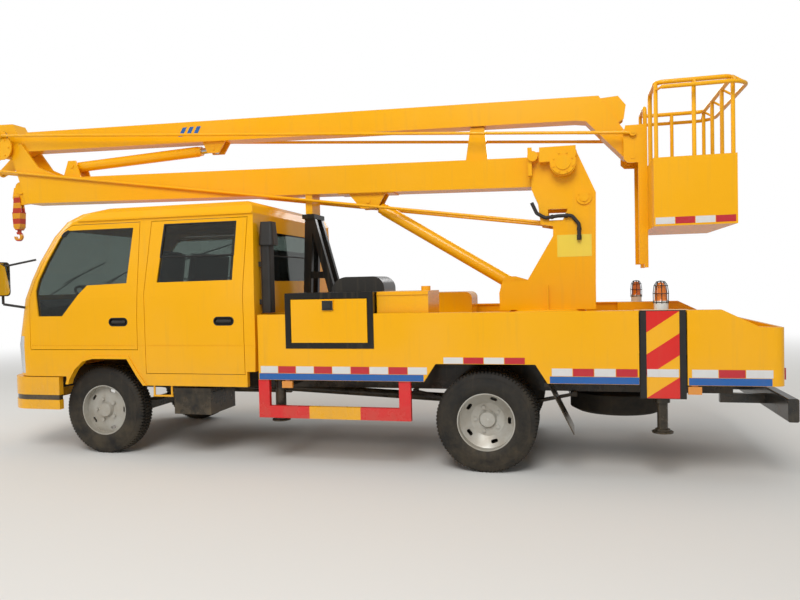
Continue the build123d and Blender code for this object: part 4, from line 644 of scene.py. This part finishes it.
def tape_row(name, body, first, last, z, side_y=None, tail_x=None):
    """A row of tape, red and white by turns, on a side face at side_y or a rear face at tail_x."""
    shapes = {"red": bmesh.new(), "white": bmesh.new()}
    count = max(1, round((last - first) / tape_length))
    step = (last - first) / count
    for k in range(count):
        start = first + step * k
        shape = shapes["white" if k % 2 == 0 else "red"]
        ends = (start, start + step - tape_gap)
        if tail_x is None:
            face = sorted((side_y, side_y + math.copysign(tape_lift * 2, side_y)))
            low, high = (truck_x + ends[0], face[0], z[0]), (truck_x + ends[1], face[1], z[1])
        else:
            depth = (tail_x, tail_x + tape_lift * 2)
            low, high = (truck_x + depth[0], ends[0], z[0]), (truck_x + depth[1], ends[1], z[1])
        strip(shape, low, high, tape_lift / 2)
    for colour, shape in shapes.items():
        if len(shape.verts):
            made = shape_piece(f"{name}_{colour}", shape, tape_red if colour == "red" else tape_white, body)
        else:
            shape.free()


for side, s in sides:
    for k, (first, last, low, high) in enumerate(deck_tape, 1):
        tape_row(f"deck_tape_{side}_{k}", "truck", first, last, (low, high), s * deck_half)
tape_row("tail_tape", "truck", -0.60, 0.60, (0.760, 0.812), tail_x=5.380)

# Blue sheet stripe under the tape, from the cab to the arch and on to the tail.
stripe_z = (0.692, 0.742)
stripe_runs = ((1.560, 2.905), (3.835, 4.446), (4.770, 5.290))
for side, s in sides:
    shape = bmesh.new()
    for first, last in stripe_runs:
        face = sorted((s * deck_half, s * (deck_half + tape_lift * 2)))
        low, high = (truck_x + first, face[0], stripe_z[0]), (truck_x + last, face[1], stripe_z[1])
        strip(shape, low, high, tape_lift / 2)
    made = shape_piece(f"deck_stripe_{side}", shape, tape_blue, "truck")


# Outrigger plates: steel sheet with red bands that climb to the rear on yellow, between two
# black rubber edge strips. Each rides out with its beam.
plate_x = (4.497, 4.714)
edge_strip_x = ((4.457, 4.497), (4.714, 4.757))
plate_z = (0.596, 1.205)
plate_y = 0.961
plate_thick = 0.0012
band_pitch = 0.305
band_lead = 0.246
band_climb = 0.68

striped_enamel, tree, shader = coated("striped_enamel", 0.08)
parts = add(tree, "SeparateXYZ", {0: object_place(tree)}).outputs
slope = add(tree, "Math", {0: parts["X"], 1: -band_climb, 2: parts["Z"]}, operation="MULTIPLY_ADD").outputs[0]
red = bands(tree, slope, band_pitch, band_lead)
dusty(tree, shader, blend(tree, red, linear(yellow_colour), linear("#D61A12")), 0.85, 0.12)

for side, s in sides:
    shape = bmesh.new()
    face = sorted((s * plate_y, s * (plate_y + plate_thick)))
    low, high = (truck_x + plate_x[0], face[0], plate_z[0]), (truck_x + plate_x[1], face[1], plate_z[1])
    strip(shape, low, high, 0.0004)
    made = shape_piece(f"outrigger_plate_{side}", shape, striped_enamel, f"outrigger_{side}")
    shape = bmesh.new()
    for low, high in edge_strip_x:
        face = sorted((s * (plate_y - 0.004), s * (plate_y + 0.006)))
        strip(shape, (truck_x + low, face[0], plate_z[0]), (truck_x + high, face[1], plate_z[1]), 0.003)
    made = shape_piece(f"outrigger_edges_{side}", shape, seal_rubber, f"outrigger_{side}")
for side, s in sides:
    front_face = s * (plate_y + plate_thick)
    tape_row(f"plate_tape_{side}", f"outrigger_{side}", *plate_tape_x, plate_tape_z, front_face)


# Basket edges: the same tape along the foot of the sheet panels.
basket_x = (4.605, 5.180)
basket_half = 0.570
basket_tape_z = (1.834, 1.884)
for side, s in sides:
    ends = (basket_x[0] + 0.01, basket_x[1] - 0.01)
    tape_row(f"basket_tape_{side}", "basket", *ends, basket_tape_z, s * basket_half)
tape_row("basket_tape_rear", "basket", -0.54, 0.54, basket_tape_z, tail_x=basket_x[1])


# Boom bars: three slanting blue bars of self-adhesive sheet on each side of the upper boom.
bar_foot = (0.351, 2.895)
bar_head = (0.400, 2.979)
bar_width = 0.044
bar_step = 0.076
upper_half = 0.086
for side, s in sides:
    shape = bmesh.new()
    for k in range(3):
        corners = []
        for x, z in (
            (bar_foot[0], bar_foot[1]),
            (bar_foot[0] + bar_width, bar_foot[1]),
            (bar_head[0] + bar_width, bar_head[1]),
            (bar_head[0], bar_head[1]),
        ):
            corners.append((truck_x + x + bar_step * k, z))
        outer = [shape.verts.new((x, s * (upper_half + 0.001), z)) for x, z in corners]
        inner = [shape.verts.new((x, s * upper_half, z)) for x, z in corners]
        stack(shape, [inner, outer])
    made = shape_piece(f"boom_bars_{side}", shape, tape_blue, "upper_boom")


# Lamps: clear head lamps, amber side markers, red tail lamps and two beacons, all moulded
# acrylic over reflectors. The lens is ribbed inside, which breaks up what shows through it.
beacon_place = (4.605, 0.890)
deck_top = 1.210
beacon_foot = 0.064
head_lamps_end = -0.2
tail_lamps_start = 5.3
lamp_lens, tree, shader = begin("lamp_lens", {"IOR": 1.49, "Coat Weight": 0.8, "Coat Roughness": 0.03})
place = object_place(tree)
parts = add(tree, "SeparateXYZ", {0: place}).outputs
low_lamp = add(tree, "Math", {0: parts["Z"], 1: deck_top}, operation="LESS_THAN").outputs[0]
foot = within(tree, parts["Z"], deck_top, deck_top + beacon_foot)
front = add(tree, "Math", {0: parts["X"], 1: truck_x + head_lamps_end}, operation="LESS_THAN").outputs[0]
rear = add(tree, "Math", {0: parts["X"], 1: truck_x + tail_lamps_start}, operation="GREATER_THAN").outputs[0]
colour = blend(tree, foot, linear("#D9731A"), linear("#D8D4CC"))
colour = blend(tree, low_lamp, colour, linear("#D98A2B"))
colour = blend(tree, front, colour, linear("#C3C6C8"))
colour = blend(tree, rear, colour, linear("#A51E1C"))
tree.links.new(colour, shader.inputs["Base Color"])
flutes = add(tree, "TexWave", {"Vector": place, "Scale": 28.0}, bands_direction="Y").outputs["Fac"]
relief(tree, shader, flutes, 0.002, 0.6)
roughen(tree, shader, flutes, 0.08, 0.2)
dress(lamp_lens, "lamps")

# Beacon guards: cages of 5 mm wire with a black plastic coat, screwed to the lamp's foot.
cage_wire = 0.0026
# Distance from the beacon's middle and height over the deck, of a cage wire's bends and of the rings
cage_bends = ((0.050, 0.045), (0.051, 0.120), (0.044, 0.172), (0.028, 0.198), (0.0, 0.2035))
cage_rings = ((0.0515, 0.055), (0.0525, 0.115), (0.046, 0.170))
for side, s in sides:
    centre = Vector((truck_x + beacon_place[0], s * beacon_place[1], deck_top))
    for number in range(4):
        turn = math.radians(45 * number)
        way = Vector((math.cos(turn), math.sin(turn), 0.0))
        arc = [centre + way * r + Vector((0, 0, z)) for r, z in cage_bends]
        arc += [centre - way * r + Vector((0, 0, z)) for r, z in reversed(cage_bends[:-1])]
        made = tube_piece(f"beacon_cage_{side}_{number + 1}", arc, cage_wire, seal_rubber, "truck")
    for number, (radius, height) in enumerate(cage_rings, 1):
        ring = []
        for k in range(24):
            turn = 2 * math.pi * k / 24
            ring.append(centre + Vector((radius * math.cos(turn), radius * math.sin(turn), height)))
        made = tube_piece(f"beacon_ring_{side}_{number}", ring, cage_wire, seal_rubber, "truck", closed=True)


# Front panel: black moulded bars in the grille slots and two wipers on the screen. The cab's own
# face is found by looking at it from ahead, so that they lie on it.
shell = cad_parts["cab_shell"].data
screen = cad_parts["cab_glass"].data
cab_front = -0.9
grille_rows = (0.800, 0.860, 0.920)
grille_bars = 18
grille_pitch = 0.049
grille_half = 0.429
bar_half = 0.003
bar_z = (0.001, 0.025)
wiper_pivots = (-0.520, 0.100)
wiper_z = 1.375
arm_reach = 0.52
arm_foot_z = 1.40
arm_rise = 0.052
arm_off = 0.012
blade_off = 0.006
# Half a blade, across and up
blade_half = (0.23, 0.105)
screen_half = 0.7
screen_foot = 1.42


def face_x(mesh, y, z):
    """X of a mesh's foremost face at a height and distance across."""
    tree = BVHTree.FromPolygons([v.co for v in mesh.vertices], [list(p.vertices) for p in mesh.polygons])
    hit = tree.ray_cast(Vector((-6.0, y, z)), Vector((1.0, 0.0, 0.0)))[0]
    return hit.x if hit else truck_x + cab_front


grille_x = face_x(shell, 0.0, 0.89)
shape = bmesh.new()
for row_z in grille_rows:
    low_z, high_z = row_z + bar_z[0], row_z + bar_z[1]
    for k in range(grille_bars):
        y = grille_pitch * (k - (grille_bars - 1) / 2)
        low, high = (grille_x + 0.010, y - bar_half, low_z), (grille_x + 0.040, y + bar_half, high_z)
        strip(shape, low, high, 0.001)
    strip(shape, (grille_x + 0.030, -grille_half, low_z), (grille_x + 0.040, grille_half, high_z), 0.002)
made = shape_piece("grille_bars", shape, moulded_black, "truck")


def on_screen(across, z, off):
    """A point off metres in front of the screen's face."""
    x = face_x(screen, max(-screen_half, min(screen_half, across)), z)
    return Vector((x - off, across, z))


for number, y in enumerate(wiper_pivots, 1):
    foot = Vector((face_x(shell, y, wiper_z) - arm_off, y, wiper_z))
    points = [foot]
    for k in range(1, 5):
        points.append(on_screen(y + arm_reach * (k / 6.0) ** 0.8, arm_foot_z + arm_rise * k, arm_off))
    arm = tube_piece(f"wiper_arm_{number}", points, 0.005, moulded_black, "truck")
    blade_points = []
    for k in range(9):
        share = (k - 4) / 4.0
        z = max(screen_foot, points[-1].z + blade_half[1] * share)
        blade_points.append(on_screen(points[-1].y + blade_half[0] * share, z, blade_off))
    made = tube_piece(f"wiper_blade_{number}", blade_points, 0.006, seal_rubber, "truck")


# Mirror glass: silvered glass in each housing, facing back along the truck.
mirror_out = 0.090
mirror_face = cab_front + 0.035 + 0.0262
mirror_z = 1.55
mirror_half = (0.072, 0.141)
mirror_glass, tree, shader = begin("mirror_glass", {"Metallic": 1.0, "Base Color": linear("#C9CFD2")})
place = object_place(tree)
dust = add(tree, "TexNoise", {"Vector": place, "Scale": 14.0, "Detail": 6.0}).outputs["Fac"]
roughen(tree, shader, dust, 0.02, 0.2, 0.45)
for side, s in sides:
    shape = bmesh.new()
    middle = s * (cab_half + mirror_out)
    loops = []
    for grow, x in ((0.0, 0.0), (0.0, 0.0012), (-0.004, 0.0018)):
        loop = []
        for k in range(40):
            turn = 2 * math.pi * k / 40
            wide, tall = mirror_half[0] + grow, mirror_half[1] + grow
            y = math.copysign(abs(math.cos(turn)) ** 0.45, math.cos(turn)) * wide
            z = math.copysign(abs(math.sin(turn)) ** 0.35, math.sin(turn)) * tall
            loop.append(shape.verts.new((truck_x + mirror_face + x, middle + y, mirror_z + z)))
        loops.append(loop)
    stack(shape, loops)
    made = shape_piece(f"mirror_glass_{side}", shape, mirror_glass, "truck")


# Toolbox latch and blank plate: a black pressed paddle latch on the yellow door, and a plain
# pale yellow sheet riveted to the turret's left head plate.
latch_x = (2.109, 2.204)
latch_z = (1.240, 1.318)
latch_y = -0.990
shape = bmesh.new()
strip(
    shape,
    (truck_x + latch_x[0], latch_y - 0.0004, latch_z[0]),
    (truck_x + latch_x[1], latch_y + 0.004, latch_z[1]),
    0.003,
)
strip(
    shape,
    (truck_x + latch_x[0] + 0.018, latch_y - 0.0060, latch_z[0] + 0.012),
    (truck_x + latch_x[1] - 0.018, latch_y + 0.001, latch_z[1] - 0.020),
    0.003,
)
made = shape_piece("toolbox_latch", shape, moulded_black, "toolbox_door")

plate_face = -0.185
sheet_x = (3.891, 4.166)
sheet_z = (1.624, 1.806)
blank_sheet = enamel("blank_sheet", "#EBD24A", 1.0, 0.2)
shape = bmesh.new()
strip(
    shape,
    (truck_x + sheet_x[0], plate_face - 0.0014, sheet_z[0]),
    (truck_x + sheet_x[1], plate_face, sheet_z[1]),
    0.0005,
)
for x in (sheet_x[0] + 0.012, sheet_x[1] - 0.012):
    for z in (sheet_z[0] + 0.012, sheet_z[1] - 0.012):
        flat = Matrix.Diagonal((1.0, 0.5, 1.0, 1.0))
        rivet = Matrix.Translation((truck_x + x, plate_face - 0.002, z)) @ flat
        bmesh.ops.create_uvsphere(shape, u_segments=12, v_segments=6, radius=0.004, matrix=rivet)
made = shape_piece("blank_sheet", shape, blank_sheet, "turret")


# Hose bundle: rubber hoses in a black nylon sleeve woven on the skew.
nylon_sleeve, tree, shader = begin("nylon_sleeve", {"IOR": 1.53})
place = object_place(tree)
skew = {"Vector": place, "Scale": 60.0, "Distortion": 1.0}
weave = add(tree, "TexWave", skew, bands_direction="DIAGONAL").outputs["Fac"]
tree.links.new(blend(tree, weave, linear("#161617"), linear("#2D2C2C")), shader.inputs["Base Color"])
roughen(tree, shader, weave, 0.55, 0.8)
relief(tree, shader, weave, 0.0006)
dress(nylon_sleeve, "hoses")


# Bolts: hexagon heads with washers, zinc plated round the slewing ring and painted over on the
# winch and the pivot caps.
def bolt(shape, place, way, size):
    """A hexagon head on its washer, standing on a face that looks along way."""
    turn = Vector(way).to_track_quat("Z", "Y").to_matrix().to_4x4()
    seat = Matrix.Translation(place) @ turn
    bmesh.ops.create_cone(
        shape, cap_ends=True, segments=18, radius1=size * 1.05, radius2=size, depth=size * 0.3,
        matrix=seat @ Matrix.Translation((0, 0, size * 0.15)),
    )
    bmesh.ops.create_cone(
        shape, cap_ends=True, segments=6, radius1=size * 0.86, radius2=size * 0.8, depth=size * 0.75,
        matrix=seat @ Matrix.Translation((0, 0, size * 0.65)),
    )


def bolt_circle(shape, centre, radius, count, lead, y, size):
    """Bolts on a circle on an upright face at y, the first one lead of a step round."""
    for k in range(count):
        turn = 2 * math.pi * (k + lead) / count
        x = truck_x + centre[0] + radius * math.cos(turn)
        bolt(shape, (x, y, centre[1] + radius * math.sin(turn)), (0, math.copysign(1, y), 0), size)


slew_x = 3.797
slew_top = 1.1613
slew_bolts = 24
slew_radius = 0.318
shape = bmesh.new()
for k in range(slew_bolts):
    turn = 2 * math.pi * (k + 0.5) / slew_bolts
    x = truck_x + slew_x + slew_radius * math.cos(turn)
    bolt(shape, (x, slew_radius * math.sin(turn), slew_top), (0, 0, 1), 0.011)
made = shape_piece("slew_bolts", shape, zinc_plate, "turret")

winch_centre = (3.948, 2.386)
boom_pivot = (4.110, 2.110)
knuckle_pivot = (-1.630, 2.910)
painted_circles = (
    # piece, body, and the piece's circles: centre, radius, count, lead, y of the face, size
    ("turret_bolts", "turret", (
        (winch_centre, 0.080, 8, 0.5, -0.290, 0.008),
        (boom_pivot, 0.048, 3, 0.25, -0.199, 0.006),
        (boom_pivot, 0.048, 3, 0.25, 0.199, 0.006),
    )),
    ("knuckle_bolts", "level_link", (
        (knuckle_pivot, 0.088, 6, 0.0, -0.169, 0.009),
        (knuckle_pivot, 0.088, 6, 0.0, 0.169, 0.009),
    )),
)
for name, body, circles in painted_circles:
    shape = bmesh.new()
    for circle in circles:
        bolt_circle(shape, *circle)
    made = shape_piece(name, shape, yellow_enamel, body)


# Seats: foam pads in woven grey cloth on moulded bases. Each cushion and back is its own padded
# piece with a welt round its edge and two sewn channels.
seat_places = (
    # name, front x, centre y, width, rake of the back
    ("driver", -0.120, -0.420, 0.480, 0.070),
    ("double", -0.120, 0.330, 0.700, 0.070),
    ("bench", 0.760, 0.0, 1.560, 0.060),
)
seat_base = 1.160
cab_floor = 0.912
seat_crown = 0.022
channel_places = (-0.36, 0.36)
channel_depth = 0.007
channel_width = 0.007
# Length and thickness of a pad, and its middle's place behind the seat's front and over its base
cushion_size, cushion_place = (0.45, 0.13), (0.212, 0.067)
back_size, back_place = (0.56, 0.10), (0.468, 0.335)

seat_cloth, tree, shader = begin("seat_cloth", {"Sheen Weight": 0.3, "Sheen Roughness": 0.5, "IOR": 1.45})
place = object_place(tree)
# Threads 2 mm apart, drawn twice as wide so that they show
warp = add(tree, "TexWave", {"Vector": place, "Scale": 40.0}, bands_direction="Y").outputs["Fac"]
weft = add(tree, "TexWave", {"Vector": place, "Scale": 40.0}, bands_direction="DIAGONAL").outputs["Fac"]
cross = add(tree, "Math", {0: warp, 1: weft}, operation="MULTIPLY").outputs[0]
fuzz = add(tree, "TexNoise", {"Vector": place, "Scale": 5.0, "Detail": 5.0}).outputs["Fac"]
shade = blend(tree, cross, linear("#4A4D52"), linear("#6C6F73"))
tree.links.new(blend(tree, fuzz, shade, linear("#5A5B5C")), shader.inputs["Base Color"])
roughen(tree, shader, cross, 0.75, 0.95)
relief(tree, shader, cross, 0.0008)


def pad(name, centre, size, lean, crown):
    """A cushion: width along Y, length along its lean, with a crowned face and two channels."""
    shape = bmesh.new()
    nu, nv = 28, 20
    top, under = [], []
    for i in range(nu + 1):
        u = -1 + 2 * i / nu
        row_top, row_under = [], []
        for j in range(nv + 1):
            v = -1 + 2 * j / nv
            pull = 1.0 - 0.025 * (u * v) ** 2
            y = u * size[1] / 2 * pull
            x = v * size[0] / 2 * pull
            fall = (1 - abs(u) ** 6) * (1 - abs(v) ** 6)
            swell = crown * fall * (1 - 0.35 * u * u - 0.3 * v * v)
            for channel in channel_places:
                aside = (v - channel) * size[0] / 2
                swell -= channel_depth * math.exp(-(aside / channel_width) ** 2) * fall
            row_top.append((x, y, size[2] / 2 - 0.018 * (1 - fall) + swell - crown * 0.5))
            row_under.append((x, y, -size[2] / 2 + 0.012 * (1 - fall)))
        top.append(row_top)
        under.append(row_under)
    turn = Matrix.Translation(centre) @ Matrix.Rotation(-lean, 4, "Y")
    top = [[shape.verts.new(turn @ Vector(p)) for p in row] for row in top]
    under = [[shape.verts.new(turn @ Vector(p)) for p in row] for row in under]
    for i in range(nu):
        for j in range(nv):
            shape.faces.new((top[i][j], top[i][j + 1], top[i + 1][j + 1], top[i + 1][j]))
            shape.faces.new((under[i][j], under[i + 1][j], under[i + 1][j + 1], under[i][j + 1]))
    edge_top = [top[i][0] for i in range(nu)] + [top[nu][j] for j in range(nv)]
    edge_top += [top[i][nv] for i in range(nu, 0, -1)] + [top[0][j] for j in range(nv, 0, -1)]
    edge_under = [under[i][0] for i in range(nu)] + [under[nu][j] for j in range(nv)]
    edge_under += [under[i][nv] for i in range(nu, 0, -1)] + [under[0][j] for j in range(nv, 0, -1)]
    for k in range(len(edge_top)):
        n = (k + 1) % len(edge_top)
        shape.faces.new((edge_top[k], edge_top[n], edge_under[n], edge_under[k]))
    welt = [v.co.copy() for v in edge_top]
    made = shape_piece(name, shape, seat_cloth, "truck", 60.0)
    softer = made.modifiers.new("round", "SUBSURF")
    softer.levels = 1
    softer.render_levels = 1
    trim = tube_piece(f"{name}_welt", welt, 0.004, seat_cloth, "truck", closed=True)
    return made


for name, x, y, width, rake in seat_places:
    centre = (truck_x + x + cushion_place[0], y, seat_base + cushion_place[1])
    size = (cushion_size[0], width - 0.01, cushion_size[1])
    pad(f"{name}_cushion", centre, size, 0.0, seat_crown)
    centre = (truck_x + x + back_place[0] + rake / 2, y, seat_base + back_place[1])
    size = (back_size[0], width - 0.01, back_size[1])
    lean = math.radians(90) - math.atan2(rake + 0.02, 0.58)
    pad(f"{name}_back", centre, size, lean, seat_crown)
    shape = bmesh.new()
    strip(
        shape,
        (truck_x + x + 0.01, y - width / 2 + 0.035, cab_floor),
        (truck_x + x + 0.43, y + width / 2 - 0.035, seat_base),
        0.018,
    )
    made = shape_piece(f"{name}_base", shape, moulded_black, "truck")
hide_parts("seats")
dress(seat_cloth, "seats")
